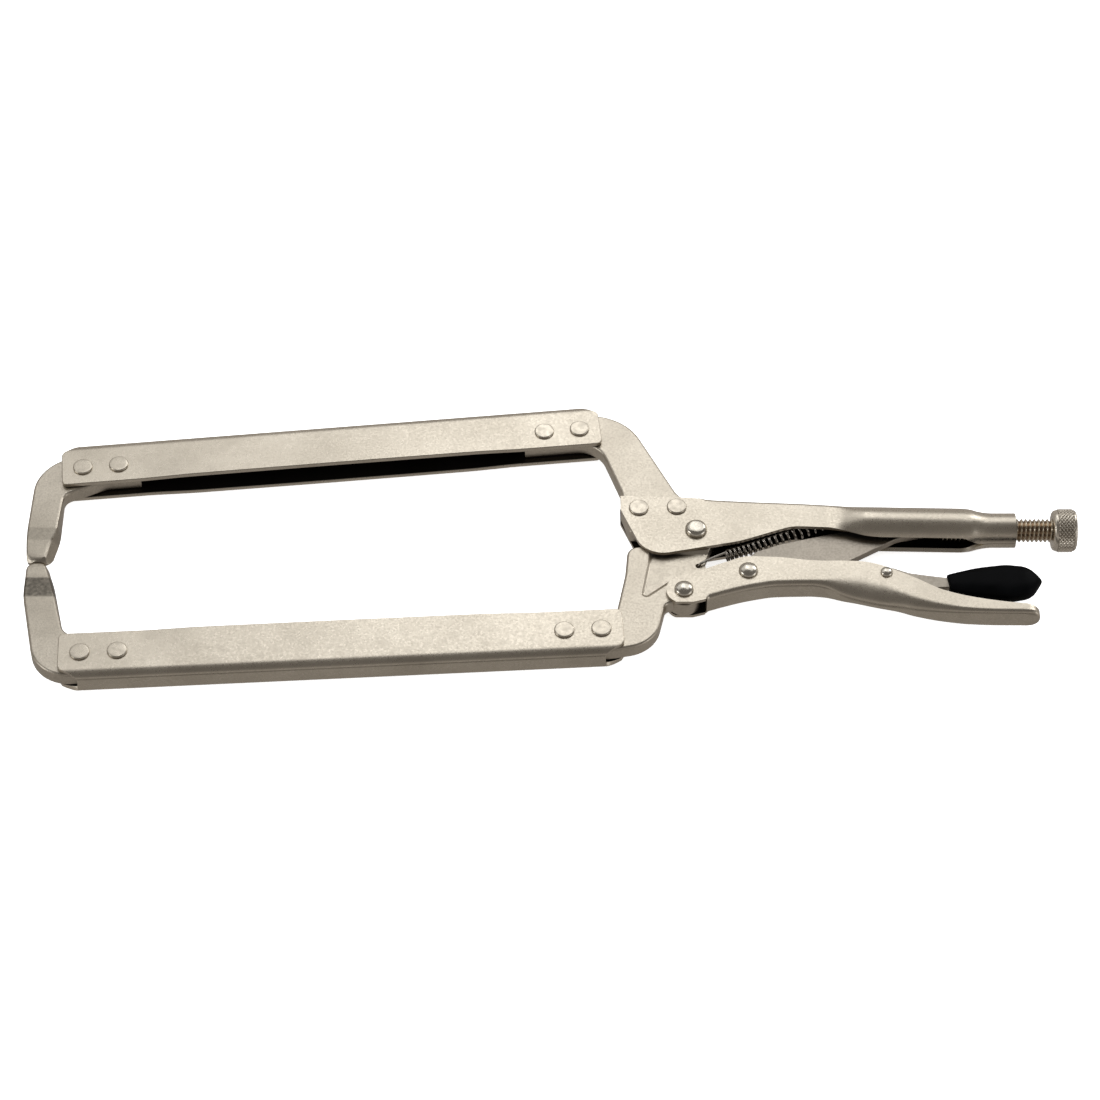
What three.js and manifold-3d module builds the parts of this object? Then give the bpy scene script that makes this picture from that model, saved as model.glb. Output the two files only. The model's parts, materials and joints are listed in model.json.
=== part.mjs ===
// Locking C clamp with two channel-section reach arms, lying on its side.
// Millimetres, +Z up. The design axes have the main pivot at their origin, +X towards the
// adjusting knob and +Y towards the fixed arm; the assembly is moved at the end so that its
// origin is the centre of the bottom of its box.
import * as THREE from 'three';
import { mergeVertices } from 'three/addons/utils/BufferGeometryUtils.js';
import Module from 'manifold-3d';

const wasm = await Module();
wasm.setup();

// ---- Driving dimensions ------------------------------------------------------------------

const FORGING = { half: 3.5, edge: 0.8 };
const HANDLE = { half: 5.3, sheet: 1.6 };
const BAR = { length: 235, height: 23.2, half: 5.8, splay: 0.9, sheet: 2, bend: 3, roll: 4.4, webSetBack: 8 };
const TONGUE = { length: 33.7, top: 2.6, bottom: 20.7 };
const BAR_RIVET_STEPS = [9.1, 24.6, BAR.length - 24.6, BAR.length - 9.1];
const UPPER_BAR = { x: -275.7, y: 48.2, tilt: THREE.MathUtils.degToRad(5.93), rivetDepth: 14.1 };
const LOWER_BAR = { x: -265.8, y: -80.3, tilt: THREE.MathUtils.degToRad(3.32), rivetDepth: 12.8 };

const MAIN_PIVOT = [0, 0];
const JAW_PIVOT = [-6, -32.9];
const LINK_PIVOT = [21.5, -22.7];
const LEVER_PIVOT = [79.9, -23.7];
const LINK_NOSE = [96, 4.1];
const HANDLE_RIVETS = [[-24.3, 12.3], [-8, 12.9]];
const HOOK_HOLE = [0.6, -17.6];

const SCREW_AXIS_Y = LINK_NOSE[1];
const TUBE = { radius: 9.5, sheet: 1.75, slot: 4.6 };
const COLLAR = { radius: 7.45, end: 137 };
const SCREW = { radius: 5.05, tip: 103.4, end: 152.9, spigot: 3.9, spigotEnd: 160.5 };
const KNOB = { radius: 9.25, start: 153, end: 163.1 };

const SPRING = {
  coil: 2.6, wire: 0.55, turns: 18, start: [12.5, -10.3], end: [56, 8], hookHole: 1.3, hookX: 61.5,
};
const HOLE_PLAY = 0.15;
const SCREW_PLAY = 0.25;
const HEAD_PLAY = 0.05;
const RIVET = {
  flat: { shank: 2.5, head: 4.25, height: 1, crown: 3.6 },
  main: { shank: 3, head: 4.7, height: 2.6, crown: 2.4 },
  pivot: { shank: 2.8, head: 4.1, height: 2.4, crown: 1.2 },
  lever: { shank: 1.7, head: 2.6, height: 1.7, crown: 0.8 },
};

const NICKEL = { color: 0xcbc3b4, roughness: 0.42, metalness: 1 };
const BRIGHT = { color: 0xd8d3c8, roughness: 0.25, metalness: 1 };
const SPRING_STEEL = { color: 0x6e6a64, roughness: 0.3, metalness: 1 };
const VINYL = { color: 0x0d0f12, roughness: 0.55, metalness: 0 };

// ---- Solids ------------------------------------------------------------------------------

function toSolid(geometry) {
  geometry.deleteAttribute('normal');
  geometry.deleteAttribute('uv');
  const merged = mergeVertices(geometry, 1e-4);
  const corners = merged.index.array;
  const kept = [];
  for (let i = 0; i < corners.length; i += 3) {
    const [a, b, c] = [corners[i], corners[i + 1], corners[i + 2]];
    if (a !== b && b !== c && c !== a) kept.push(a, b, c);
  }
  const vertices = Float32Array.from(merged.attributes.position.array);
  const triangles = Uint32Array.from(facingOut(vertices, kept));
  return new wasm.Manifold(new wasm.Mesh({ numProp: 3, vertProperties: vertices, triVerts: triangles }));
}

// The triangles, turned over if together they enclose a negative volume.
function facingOut(vertices, triangles) {
  const corner = (i) => new THREE.Vector3().fromArray(vertices, 3 * triangles[i]);
  let volume = 0;
  for (let i = 0; i < triangles.length; i += 3) {
    volume += corner(i).dot(corner(i + 1).cross(corner(i + 2)));
  }
  return volume > 0 ? triangles : triangles.toReversed();
}

function toGeometry(solid) {
  const mesh = solid.getMesh();
  const geometry = new THREE.BufferGeometry();
  geometry.setAttribute('position', new THREE.BufferAttribute(mesh.vertProperties, 3));
  geometry.setIndex(new THREE.BufferAttribute(mesh.triVerts, 1));
  return geometry;
}

// A closed outline from corners [x, y, radius]; a corner with no radius stays sharp.
function outline(corners) {
  const shape = new THREE.Shape();
  const at = (i) => new THREE.Vector2(...corners.at(i % corners.length).slice(0, 2));
  corners.forEach(([, , radius = 0], i) => {
    const corner = at(i);
    const back = at(i - 1).sub(corner).normalize();
    const ahead = at(i + 1).sub(corner).normalize();
    const halfAngle = Math.acos(THREE.MathUtils.clamp(back.dot(ahead), -1, 1)) / 2;
    const reach = radius / Math.tan(halfAngle);
    const start = corner.clone().addScaledVector(back, reach);
    if (i === 0) shape.moveTo(start.x, start.y);
    else shape.lineTo(start.x, start.y);
    if (radius === 0) return;
    const end = corner.clone().addScaledVector(ahead, reach);
    const inward = back.clone().add(ahead).normalize();
    const centre = corner.clone().addScaledVector(inward, radius / Math.sin(halfAngle));
    const turnsRight = back.cross(ahead) > 0;
    const from = start.sub(centre).angle();
    const to = end.sub(centre).angle();
    shape.absarc(centre.x, centre.y, radius, from, to, turnsRight);
  });
  return shape;
}

function slab(shape, low, high, arcSteps = 3) {
  const settings = { depth: high - low, bevelEnabled: false, curveSegments: arcSteps };
  return toSolid(new THREE.ExtrudeGeometry(shape, settings).translate(0, 0, low));
}

// A flat forging centred on the mid-plane, with its two edges bevelled.
function forging(shape) {
  const { half, edge } = FORGING;
  const settings = {
    depth: 2 * (half - edge), curveSegments: 3, bevelSegments: 1,
    bevelThickness: edge, bevelSize: edge, bevelOffset: -edge,
  };
  return toSolid(new THREE.ExtrudeGeometry(shape, settings).translate(0, 0, edge - half));
}

function post([x, y], radius, low, high, sides = 16) {
  const geometry = new THREE.CylinderGeometry(radius, radius, high - low, sides);
  return toSolid(geometry.rotateX(Math.PI / 2).translate(x, y, (low + high) / 2));
}

function block([x0, y0, z0], [x1, y1, z1]) {
  const geometry = new THREE.BoxGeometry(x1 - x0, y1 - y0, z1 - z0);
  return toSolid(geometry.translate((x0 + x1) / 2, (y0 + y1) / 2, (z0 + z1) / 2));
}

// A solid turned about the screw's axis from a profile of [radius, x].
function turned(profile, sides = 32) {
  const points = profile.map(([radius, x]) => new THREE.Vector2(radius, x));
  const geometry = new THREE.LatheGeometry(points, sides);
  return toSolid(geometry.rotateZ(-Math.PI / 2).translate(0, SCREW_AXIS_Y, 0));
}

function drilled(solid, centres, radius) {
  const reach = 12;
  return centres.reduce((rest, centre) => rest.subtract(post(centre, radius, -reach, reach)), solid);
}

// ---- Lofted sheet-metal sections ---------------------------------------------------------

const BLEND_SIDE_STEPS = 6;
const ARC_STEPS = 3;

// Half of a channel section as [z, y], from the middle of its open edge to the middle of its web.
function channelHalf({ half, open = half, mouth, web, bendZ, bendY = bendZ, sideSteps = 1 }) {
  const away = Math.sign(web - mouth);
  const bendStart = web - away * bendY;
  const wall = (t) => [THREE.MathUtils.lerp(open, half, t), THREE.MathUtils.lerp(mouth, bendStart, t)];
  const points = [[0, mouth], [open / 2, mouth]];
  for (let i = 0; i <= sideSteps; i += 1) points.push(wall(i / sideSteps));
  for (let i = 1; i <= ARC_STEPS; i += 1) {
    const angle = (i / ARC_STEPS) * (Math.PI / 2);
    const z = half - bendZ + bendZ * Math.cos(angle);
    points.push([z, bendStart + away * bendY * Math.sin(angle)]);
  }
  points.push([0, web]);
  return points;
}

// Half of a round section with as many points as channelHalf gives.
function roundHalf(radius, count) {
  return Array.from({ length: count }, (_, i) => {
    const angle = -Math.PI / 2 + (Math.PI * i) / (count - 1);
    return [radius * Math.cos(angle), SCREW_AXIS_Y + radius * Math.sin(angle)];
  });
}

function blendHalves(first, second, share) {
  const mix = (a, b) => THREE.MathUtils.lerp(a, b, share);
  return first.map(([z, y], i) => [mix(z, second[i][0]), mix(y, second[i][1])]);
}

// A closed solid through half sections, each { x, points: [[z, y], ...] } and mirrored in Z.
function loft(stations) {
  const rings = stations.map(({ x, points }) => {
    const mirrored = points.slice(1, -1).reverse();
    return [...points.map(([z, y]) => [x, y, z]), ...mirrored.map(([z, y]) => [x, y, -z])];
  });
  const count = rings[0].length;
  const vertices = rings.flat();
  const triangles = [];
  for (let ring = 0; ring + 1 < rings.length; ring += 1) {
    for (let i = 0; i < count; i += 1) {
      const [a, b] = [ring * count + i, ring * count + ((i + 1) % count)];
      triangles.push(a, b, b + count, a, b + count, a + count);
    }
  }
  for (const [ring, start] of [[rings[0], 0], [rings.at(-1), (rings.length - 1) * count]]) {
    const middle = vertices.length;
    vertices.push([0, 1, 2].map((axis) => ring.reduce((sum, point) => sum + point[axis], 0) / count));
    for (let i = 0; i < count; i += 1) {
      const [a, b] = [start + i, start + ((i + 1) % count)];
      triangles.push(...(start === 0 ? [b, a, middle] : [a, b, middle]));
    }
  }
  const geometry = new THREE.BufferGeometry();
  geometry.setAttribute('position', new THREE.Float32BufferAttribute(vertices.flat(), 3));
  geometry.setIndex(triangles);
  return toSolid(geometry);
}

// ---- Reach arms: channel bars, forged tips and forged roots -------------------------------

// Points given by their distance along a bar and their depth below the outside of its web.
function fromUpperBar(along, depth, radius = 0) {
  const { x, y, tilt } = UPPER_BAR;
  const [c, s] = [Math.cos(tilt), Math.sin(tilt)];
  return [x + along * c + depth * s, y + along * s - depth * c, radius];
}

function fromLowerBar(along, depth, radius = 0) {
  const { x, y, tilt } = LOWER_BAR;
  const [c, s] = [Math.cos(tilt), Math.sin(tilt)];
  return [x + along * c - depth * s, y + along * s + depth * c, radius];
}

// A bar along +X with the outside of its web at y = 0 and its open side down. The walls spring
// outwards between the riveted ends.
function channelBar(rivetDepth) {
  const { length, height, half, splay, sheet, bend, roll, webSetBack } = BAR;
  const riveted = BAR_RIVET_STEPS[1] + 8;
  const springsOut = riveted + 25;
  const swell = [[0, 0], [riveted, 0], [springsOut, 0.8], [length / 2, 1]];
  const mirrored = swell.slice(0, -1).reverse().map(([x, share]) => [length - x, share]);
  const spread = [...swell, ...mirrored];
  const skin = (inset, deeper, longer) => loft(spread.map(([x, share], i) => ({
    x: x + (i === 0 ? -longer : 0) + (i === spread.length - 1 ? longer : 0),
    points: channelHalf({
      half: half - inset, open: half + splay * share - inset,
      mouth: -height - deeper, web: -inset, bendZ: bend - inset, bendY: roll - inset,
    }),
  })));
  const channel = skin(0, 0, 0).subtract(skin(sheet, 1, 1));
  const notchDepth = 5;
  const notch = [[-1, 1], [-1, -notchDepth], [0, -notchDepth], [webSetBack, 0], [webSetBack, 1]];
  const corner = 2.2;
  const lip = [
    [-1, -height - 1], [-1, corner - height], [0, corner - height],
    [corner, -height], [corner, -height - 1],
  ];
  const wide = half + 2;
  const inside = half - sheet;
  const cutEnd = (solid, place) => [
    slab(outline(notch.map(place)), -wide, wide),
    slab(outline(lip.map(place)), -wide, wide),
    block([place([-1, 0])[0], -sheet - 2, -inside], [place([webSetBack, 0])[0], 1, inside]),
  ].reduce((rest, cutter) => rest.subtract(cutter), solid);
  const cut = cutEnd(cutEnd(channel, ([x, y]) => [x, y]), ([x, y]) => [length - x, y]);
  const holes = BAR_RIVET_STEPS.map((along) => [along, -rivetDepth]);
  return drilled(cut, holes, RIVET.flat.shank + HOLE_PLAY);
}

const upperRivetPoints = BAR_RIVET_STEPS.map((along) => fromUpperBar(along, UPPER_BAR.rivetDepth));
const lowerRivetPoints = BAR_RIVET_STEPS.map((along) => fromLowerBar(along, LOWER_BAR.rivetDepth));

// Thins a tip towards its nose: both faces slope in from startY to noseY.
function thinned(solid, startY, noseY) {
  const { half } = FORGING;
  const noseHalf = 2.3;
  const beyond = noseY + Math.sign(noseY - startY) * 2;
  const wedge = outline([
    [startY, half + 0.01], [noseY, noseHalf], [beyond, noseHalf], [beyond, half + 1], [startY, half + 1],
  ]);
  const [tipsFrom, tipsTo] = [-300, -260];
  const above = slab(wedge, tipsFrom, tipsTo).rotate([90, 0, 90]);
  return solid.subtract(above).subtract(above.mirror([0, 0, 1]));
}

function upperJawTip() {
  const shape = outline([
    fromUpperBar(TONGUE.length, TONGUE.top), fromUpperBar(9, TONGUE.top),
    [-285.6, 35.6, 20], [-286.6, -2, 60], [-284.8, -14.9, 2.2], [-274.7, -14.9, 2.4],
    [-272.2, -2, 30], [-272.5, 21.5, 5],
    fromUpperBar(19, TONGUE.bottom, 8), fromUpperBar(TONGUE.length, TONGUE.bottom),
  ]);
  const tip = thinned(forging(shape), 2, -15);
  return drilled(tip, upperRivetPoints.slice(0, 2), RIVET.flat.shank + HOLE_PLAY);
}

function lowerJawTip() {
  const shape = outline([
    fromLowerBar(TONGUE.length, TONGUE.top), fromLowerBar(9.7, TONGUE.top),
    [-275.8, -77.3, 17], [-284.7, -34, 40], [-285, -15.2, 4.2], [-276.2, -15.2, 4.2],
    [-272.2, -27, 30], [-265.9, -54.4, 6],
    fromLowerBar(19, TONGUE.bottom, 8), fromLowerBar(TONGUE.length, TONGUE.bottom),
  ]);
  const tip = thinned(forging(shape), -29, -15.2);
  return drilled(tip, lowerRivetPoints.slice(0, 2), RIVET.flat.shank + HOLE_PLAY);
}

const EYE = { radius: 9, play: 1.2 };

function upperArmRoot() {
  const tongueStart = BAR.length - TONGUE.length;
  const shape = outline([
    fromUpperBar(tongueStart, TONGUE.top), fromUpperBar(227, TONGUE.top),
    [-28.7, 65.7, 24], [-5.9, 18.5, 11], [1, 18.1], [1, 13.9], [2.4, 13.9], [2.4, 0], [-13, -2.5],
    [-28.4, 0.5, 2],
    [-31.9, 12.2, 4], [-31.2, 22, 12], [-41.5, 51.8, 12], fromUpperBar(tongueStart, TONGUE.bottom),
  ]);
  const root = drilled(forging(shape), [MAIN_PIVOT], EYE.radius + EYE.play);
  return drilled(root, [...upperRivetPoints.slice(2), ...HANDLE_RIVETS], RIVET.flat.shank + HOLE_PLAY);
}

// The moving jaw: eye on the main pivot, boss on the handle pivot, and a recess in both faces.
function movingJawRoot() {
  const tongueStart = BAR.length - TONGUE.length;
  const bossRadius = 7.3;
  const { half } = FORGING;
  const shape = outline([
    fromLowerBar(tongueStart, TONGUE.top), fromLowerBar(226.5, TONGUE.top),
    [-18.5, -60.2, 16], [-13.8, -39], [-6, -38], [1, -33.5], [4.4, -24, 4], [3.2, -15, 6], [7.6, -4.6],
    [-3, -4], [-10, -5.4], [-29.3, -8.2, 5], [-30.6, -23, 30], [-35.1, -46.2, 3],
    fromLowerBar(tongueStart, TONGUE.bottom),
  ]);
  const recessDepth = 1.2;
  const recess = outline([
    [-19.4, -10.5], [-24.1, -37.2, 1.6], [-13.2, -28.2, 6], [-7.5, -23.8, 6], [6, -23.8], [6, -10.5],
  ]);
  const floor = half - recessDepth;
  const pockets = [slab(recess, floor, half + 1), slab(recess, -half - 1, -floor)];
  const bosses = [
    post(MAIN_PIVOT, EYE.radius, -half, half, 36), post(JAW_PIVOT, bossRadius, -half, half, 28),
  ];
  const recessed = pockets.reduce((rest, cutter) => rest.subtract(cutter), forging(shape));
  const jaw = bosses.reduce((rest, boss) => rest.add(boss), recessed);
  const pinned = drilled(jaw, lowerRivetPoints.slice(2), RIVET.flat.shank + HOLE_PLAY);
  const turning = drilled(pinned, [MAIN_PIVOT], RIVET.main.shank + HOLE_PLAY);
  const hooked = drilled(turning, [HOOK_HOLE], SPRING.hookHole);
  return drilled(hooked, [JAW_PIVOT], RIVET.pivot.shank + HOLE_PLAY);
}

// ---- Handles -----------------------------------------------------------------------------

// The fixed handle's outside: [x, top of the web, web bend, share of the round section, radius].
// Where no radius is given, the round section is the tube's.
const FIXED_STATIONS = [
  [-34, 19.4, 0.3, 0], [-4, 18.4, 0.3, 0], [8, 17.2, 2.2, 0], [24, 16.2, 2.2, 0], [44, 15.2, 2.2, 0],
  [56, 14.6, 2.4, 0], [62, 14.3, 2.6, 0.2], [68, 14, 3, 0.6], [73, 13.8, 3, 0.88], [79, 13.6, 3, 1],
  [113, 13.6, 3, 1], [117, 13.4, 3, 1, 9.2], [121, 12.4, 3, 1, 8.2], [124.5, 11.7, 3, 1, 7.6],
  [127, 11.6, 3, 1, COLLAR.radius], [COLLAR.end, 11.6, 3, 1, COLLAR.radius],
];

function fixedHandleSkin(inset, lastX) {
  const kept = FIXED_STATIONS.filter(([x]) => x <= lastX);
  return loft(kept.map(([x, top, bend, share, radius = TUBE.radius], i) => {
    const mouth = -14 - inset;
    const bendZ = Math.max(bend - inset, 0.2);
    const half = HANDLE.half - inset;
    const channel = channelHalf({ half, mouth, web: top - inset, bendZ, sideSteps: BLEND_SIDE_STEPS });
    const inner = inset > 0 ? Math.max(radius - TUBE.sheet, SCREW.radius + SCREW_PLAY) : radius;
    const shift = inset > 0 && i === 0 ? -2 : 0;
    return { x: x + shift, points: blendHalves(channel, roundHalf(inner, channel.length), share) };
  }));
}

function fixedHandle() {
  const inside = HANDLE.half - HANDLE.sheet;
  const { slot } = TUBE;
  const below = outline([
    [-42, -30], [-42, 12.2], [-32.4, 12.2], [-21.6, -14.5, 12], [18.5, -6.2, 40], [41, 2.2, 18],
    [63, 1.2, 12], [73, -4.9], [73, -30],
  ]);
  const slotShape = outline([
    [58, inside], [68, inside], [78, slot], [115, slot], [123.5, 0.4],
    [123.5, -0.4], [115, -slot], [78, -slot], [68, -inside], [58, -inside],
  ]);
  const slotCut = slab(slotShape, -SCREW_AXIS_Y, 30).rotate([90, 0, 0]);
  const boreRadius = SCREW.radius + SCREW_PLAY;
  const bore = turned([[0, 120], [boreRadius, 120], [boreRadius, 140], [0, 140]]);
  const armMouth = block([-40, 0, -inside], [1.5, 30, inside]);
  const { hookHole, hookX } = SPRING;
  const springHole = toSolid(new THREE.CylinderGeometry(hookHole, hookHole, 8, 12).translate(hookX, 14, 0));
  const sheetCut = block([-40, 19.6, -9], [-30, 30, 9]);
  const inner = fixedHandleSkin(HANDLE.sheet, 124.5);
  const cutters = [inner, slab(below, -12, 12), slotCut, bore, armMouth, springHole, sheetCut];
  const handle = cutters.reduce((rest, cutter) => rest.subtract(cutter), fixedHandleSkin(0, COLLAR.end));
  const pinned = drilled(handle, HANDLE_RIVETS, RIVET.flat.shank + HOLE_PLAY);
  const leftTrim = block([-45, -30, -12], [-32.1, 30, 12]);
  return drilled(pinned, [MAIN_PIVOT], RIVET.main.shank + HOLE_PLAY).subtract(leftTrim);
}

const MOVING_END = 143.5;

// The moving handle's side edges, its bottom and its bend:
// [x, top edge, bottom, bend across, bend down, half width]. The half width is the handle's
// where none is given.
const MOVING_STATIONS = [
  [3, -21.7, -38.1, 2.5, 2.5], [12, -17.9, -34.9, 2.5, 2.5], [22, -14.7, -32, 2.5, 2.5],
  [34, -15.1, -29.9, 2.5, 2.5], [48, -16.8, -29.6, 2.5, 2.5], [54, -17.1, -30.5, 3, 3.6],
  [61, -17.1, -33.6, 4.4, 8], [69, -17.4, -36, 5, 9.6], [77, -19.2, -38.1, 5, 9],
  [84, -22.4, -39.5, 5, 7.4], [92, -26.5, -41.6, 4.2, 5.4], [103, -32.9, -43.4, 3, 3.4],
  [114, -36.5, -44.4, 2.2, 2.2], [126, -38.9, -44.8, 1.9, 1.8], [136, -40.3, -44.9, 1.9, 1.8],
  [140.4, -40.9, -45.1, 1.9, 1.8, 4.9], [142.6, -41.6, -45, 1.8, 1.5, 3.9],
  [MOVING_END, -42.4, -44.7, 0.8, 0.8, 2.4],
];

function movingHandleSkin(inset, lastX) {
  const kept = MOVING_STATIONS.filter(([x]) => x <= lastX);
  return loft(kept.map(([x, top, bottom, across, down, half = HANDLE.half], i) => {
    const floor = bottom + inset * 1.03;
    const bendZ = Math.max(across - inset, 0.2);
    const bendY = Math.max(down - inset, 0.2);
    const mouth = top + (inset > 0 ? 9 : 0);
    const shift = inset > 0 && i === 0 ? -22 : 0;
    return { x: x + shift, points: channelHalf({ half: half - inset, mouth, web: floor, bendZ, bendY }) };
  }));
}

function movingHandle() {
  const { half, sheet } = HANDLE;
  const inside = half - sheet;
  const earRadius = 7.5;
  const ear = slab(outline([
    [-9.4, -26.2], [3, -21.7], [8, -19.6], [8, -36], [3, -38.1], [-4, -40.1],
  ]), -half, half);
  const outside = movingHandleSkin(0, MOVING_END).add(ear).add(post(JAW_PIVOT, earRadius, -half, half, 36));
  const webFreeEnd = block([-20, -46, -inside], [3.6, -10, inside]);
  const handle = outside.subtract(movingHandleSkin(sheet, 136)).subtract(webFreeEnd);
  const pivoted = drilled(handle, [JAW_PIVOT, LINK_PIVOT], RIVET.pivot.shank + HOLE_PLAY);
  return drilled(pivoted, [LEVER_PIVOT], RIVET.lever.shank + HOLE_PLAY);
}

// ---- Toggle link, release lever and grip --------------------------------------------------

function toggleLink() {
  const plateHalf = 1.6;
  const hubHalf = 3.4;
  const hubRadius = 6;
  const noseRadius = 3.6;
  const [cx, cy] = LINK_PIVOT;
  const [nx, ny] = LINK_NOSE;
  const plate = outline([
    [cx - 3.4, cy + 5.8], [25, -9.4, 5], [36, -4.8, 16], [78, 6.2, 20], [nx, ny + noseRadius],
    [nx, ny - noseRadius], [86, -1.7, 10], [65, -14.2, 20], [52, -22, 20], [cx + 2, cy - 5.6],
  ]);
  const body = [
    post(LINK_PIVOT, hubRadius, -hubHalf, hubHalf, 24),
    post(LINK_NOSE, noseRadius, -plateHalf, plateHalf, 24),
  ].reduce((whole, piece) => whole.add(piece), slab(plate, -plateHalf, plateHalf));
  return drilled(body, [LINK_PIVOT], RIVET.pivot.shank + HOLE_PLAY);
}

const LEVER_HALF = 1.3;
const LEVER_END = 138;

function leverShape(play) {
  return outline([
    [104, -23.2 + play], [118, -20.6 + play, 20], [131, -20.2 + play, 5], [LEVER_END + play, -25.4, 2.5],
    [129, -29.6 - play, 5], [104, -28.4 - play],
  ]);
}

function releaseLever() {
  const arm = outline([
    [63.2, -19.6, 1.2], [65.2, -17, 1.2], [76, -19.4, 4], [82.8, -17.6, 4], [90, -20.6, 10], [98, -22, 10],
    [106, -23.2], [106, -28.4], [96, -28.8, 8], [86, -29.4, 5], [76, -28, 5], [66, -21, 4],
  ]);
  const plate = slab(arm, -LEVER_HALF, LEVER_HALF).add(slab(leverShape(0), -LEVER_HALF, LEVER_HALF));
  const bossHalf = 3.4;
  const boss = post(LEVER_PIVOT, 3.6, -bossHalf, bossHalf);
  return drilled(plate.add(boss), [LEVER_PIVOT], RIVET.lever.shank + HOLE_PLAY);
}

function leverGrip() {
  const half = 4.6;
  const edge = 2.2;
  const shape = outline([
    [105.6, -21.6, 2.5], [118, -18.4, 25], [131, -16.4, 14], [140.6, -17.6, 9], [146.4, -24.4, 2.4],
    [141.5, -32.4, 8], [131, -34.6, 14], [118, -32.6, 20], [106.8, -30.6, 2.5],
  ]);
  const settings = {
    depth: 2 * (half - edge), curveSegments: 3, bevelSegments: 2,
    bevelThickness: edge, bevelSize: edge, bevelOffset: -edge,
  };
  const cushion = toSolid(new THREE.ExtrudeGeometry(shape, settings).translate(0, 0, edge - half));
  const play = 0.3;
  return cushion.subtract(slab(leverShape(play), -LEVER_HALF - play, LEVER_HALF + play));
}

// ---- Adjusting screw and knob --------------------------------------------------------------

function adjustingScrew() {
  const { radius, tip, end, spigot, spigotEnd } = SCREW;
  return turned([
    [0, tip], [radius - 1.2, tip], [radius, tip + 1.2], [radius, end], [spigot, end], [spigot, spigotEnd],
    [0, spigotEnd],
  ]);
}

function adjustingKnob() {
  const { radius, start, end } = KNOB;
  const boreRadius = SCREW.spigot + 0.1;
  const boreEnd = SCREW.spigotEnd + 0.3;
  return turned([
    [0, boreEnd], [boreRadius, boreEnd], [boreRadius, start], [radius - 1.2, start], [radius, start + 1.2],
    [radius, end - 1], [radius - 1, end], [0, end],
  ]);
}

// ---- Rivets and spring ---------------------------------------------------------------------

// A rivet with a crowned head on each side of a pack that is 2 * half thick.
function rivet([x, y], half, { shank, head, height, crown }) {
  const seat = half + HEAD_PLAY;
  const topSide = [[head, seat], [head, seat + 0.4 * height], [crown, seat + height], [0, seat + height]];
  const lowerSide = topSide.map(([radius, z]) => [radius, -z]).reverse();
  const profile = [...lowerSide, [shank, -seat], [shank, seat], ...topSide];
  const points = profile.map(([radius, z]) => new THREE.Vector2(radius, z));
  return toSolid(new THREE.LatheGeometry(points, 16).rotateX(Math.PI / 2).translate(x, y, 0));
}

// The return spring: a long hook through the jaw, the coils, and a short hook in the handle.
function springPoints() {
  const { coil, turns, start, end } = SPRING;
  const [first, last] = [new THREE.Vector3(...start, 0), new THREE.Vector3(...end, 0)];
  const along = last.clone().sub(first).normalize();
  const across = new THREE.Vector3(-along.y, along.x, 0);
  const hookZ = FORGING.half - 0.1;
  const [hx, hy] = HOOK_HOLE;
  const points = [
    new THREE.Vector3(10.8, -12.6, -hookZ + 0.5), new THREE.Vector3(hx + 1, hy + 0.4, -hookZ),
    new THREE.Vector3(hx, hy, 0), new THREE.Vector3(hx + 1, hy + 0.4, hookZ),
    new THREE.Vector3(7, -13.6, hookZ - 0.3),
  ];
  const perTurn = 7;
  for (let i = 0; i <= turns * perTurn; i += 1) {
    const angle = (2 * Math.PI * i) / perTurn;
    const centre = first.clone().lerp(last, i / (turns * perTurn));
    const offset = across.clone().multiplyScalar(-coil * Math.sin(angle));
    points.push(centre.add(offset).add(new THREE.Vector3(0, 0, coil * Math.cos(angle))));
  }
  const rearHook = [[59.4, 10.2, 1], [61.1, 12, 0], [SPRING.hookX, 13.6, 0]];
  points.push(...rearHook.map((point) => new THREE.Vector3(...point)));
  return points;
}

function spring() {
  const wire = new THREE.Shape();
  const sides = 5;
  for (let i = 0; i < sides; i += 1) {
    const angle = (2 * Math.PI * i) / sides;
    const [x, y] = [SPRING.wire * Math.cos(angle), SPRING.wire * Math.sin(angle)];
    if (i === 0) wire.moveTo(x, y);
    else wire.lineTo(x, y);
  }
  const path = new THREE.CatmullRomCurve3(springPoints());
  return toSolid(new THREE.ExtrudeGeometry(wire, { steps: 165, extrudePath: path, bevelEnabled: false }));
}

// ---- Assembly --------------------------------------------------------------------------------

const assembly = new THREE.Group();

function place(name, solid, finish, parent = assembly) {
  const mesh = new THREE.Mesh(toGeometry(solid), new THREE.MeshStandardMaterial(finish));
  mesh.name = name;
  parent.add(mesh);
  return mesh;
}

function placeBar(name, frame, turnedOver) {
  const holder = new THREE.Group();
  holder.position.set(frame.x, frame.y, 0);
  holder.rotation.z = frame.tilt;
  assembly.add(holder);
  place(name, channelBar(frame.rivetDepth), NICKEL, holder).rotation.x = turnedOver ? Math.PI : 0;
}

place('fixed_handle', fixedHandle(), NICKEL);
place('upper_arm_root', upperArmRoot(), NICKEL);
placeBar('upper_bar', UPPER_BAR, false);
place('upper_jaw_tip', upperJawTip(), NICKEL);
place('moving_jaw_root', movingJawRoot(), NICKEL);
placeBar('lower_bar', LOWER_BAR, true);
place('lower_jaw_tip', lowerJawTip(), NICKEL);
place('moving_handle', movingHandle(), NICKEL);
place('toggle_link', toggleLink(), NICKEL);
place('release_lever', releaseLever(), NICKEL);
place('lever_grip', leverGrip(), VINYL);
place('adjusting_screw', adjustingScrew(), NICKEL);
place('adjusting_knob', adjustingKnob(), NICKEL);
place('return_spring', spring(), SPRING_STEEL);

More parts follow.
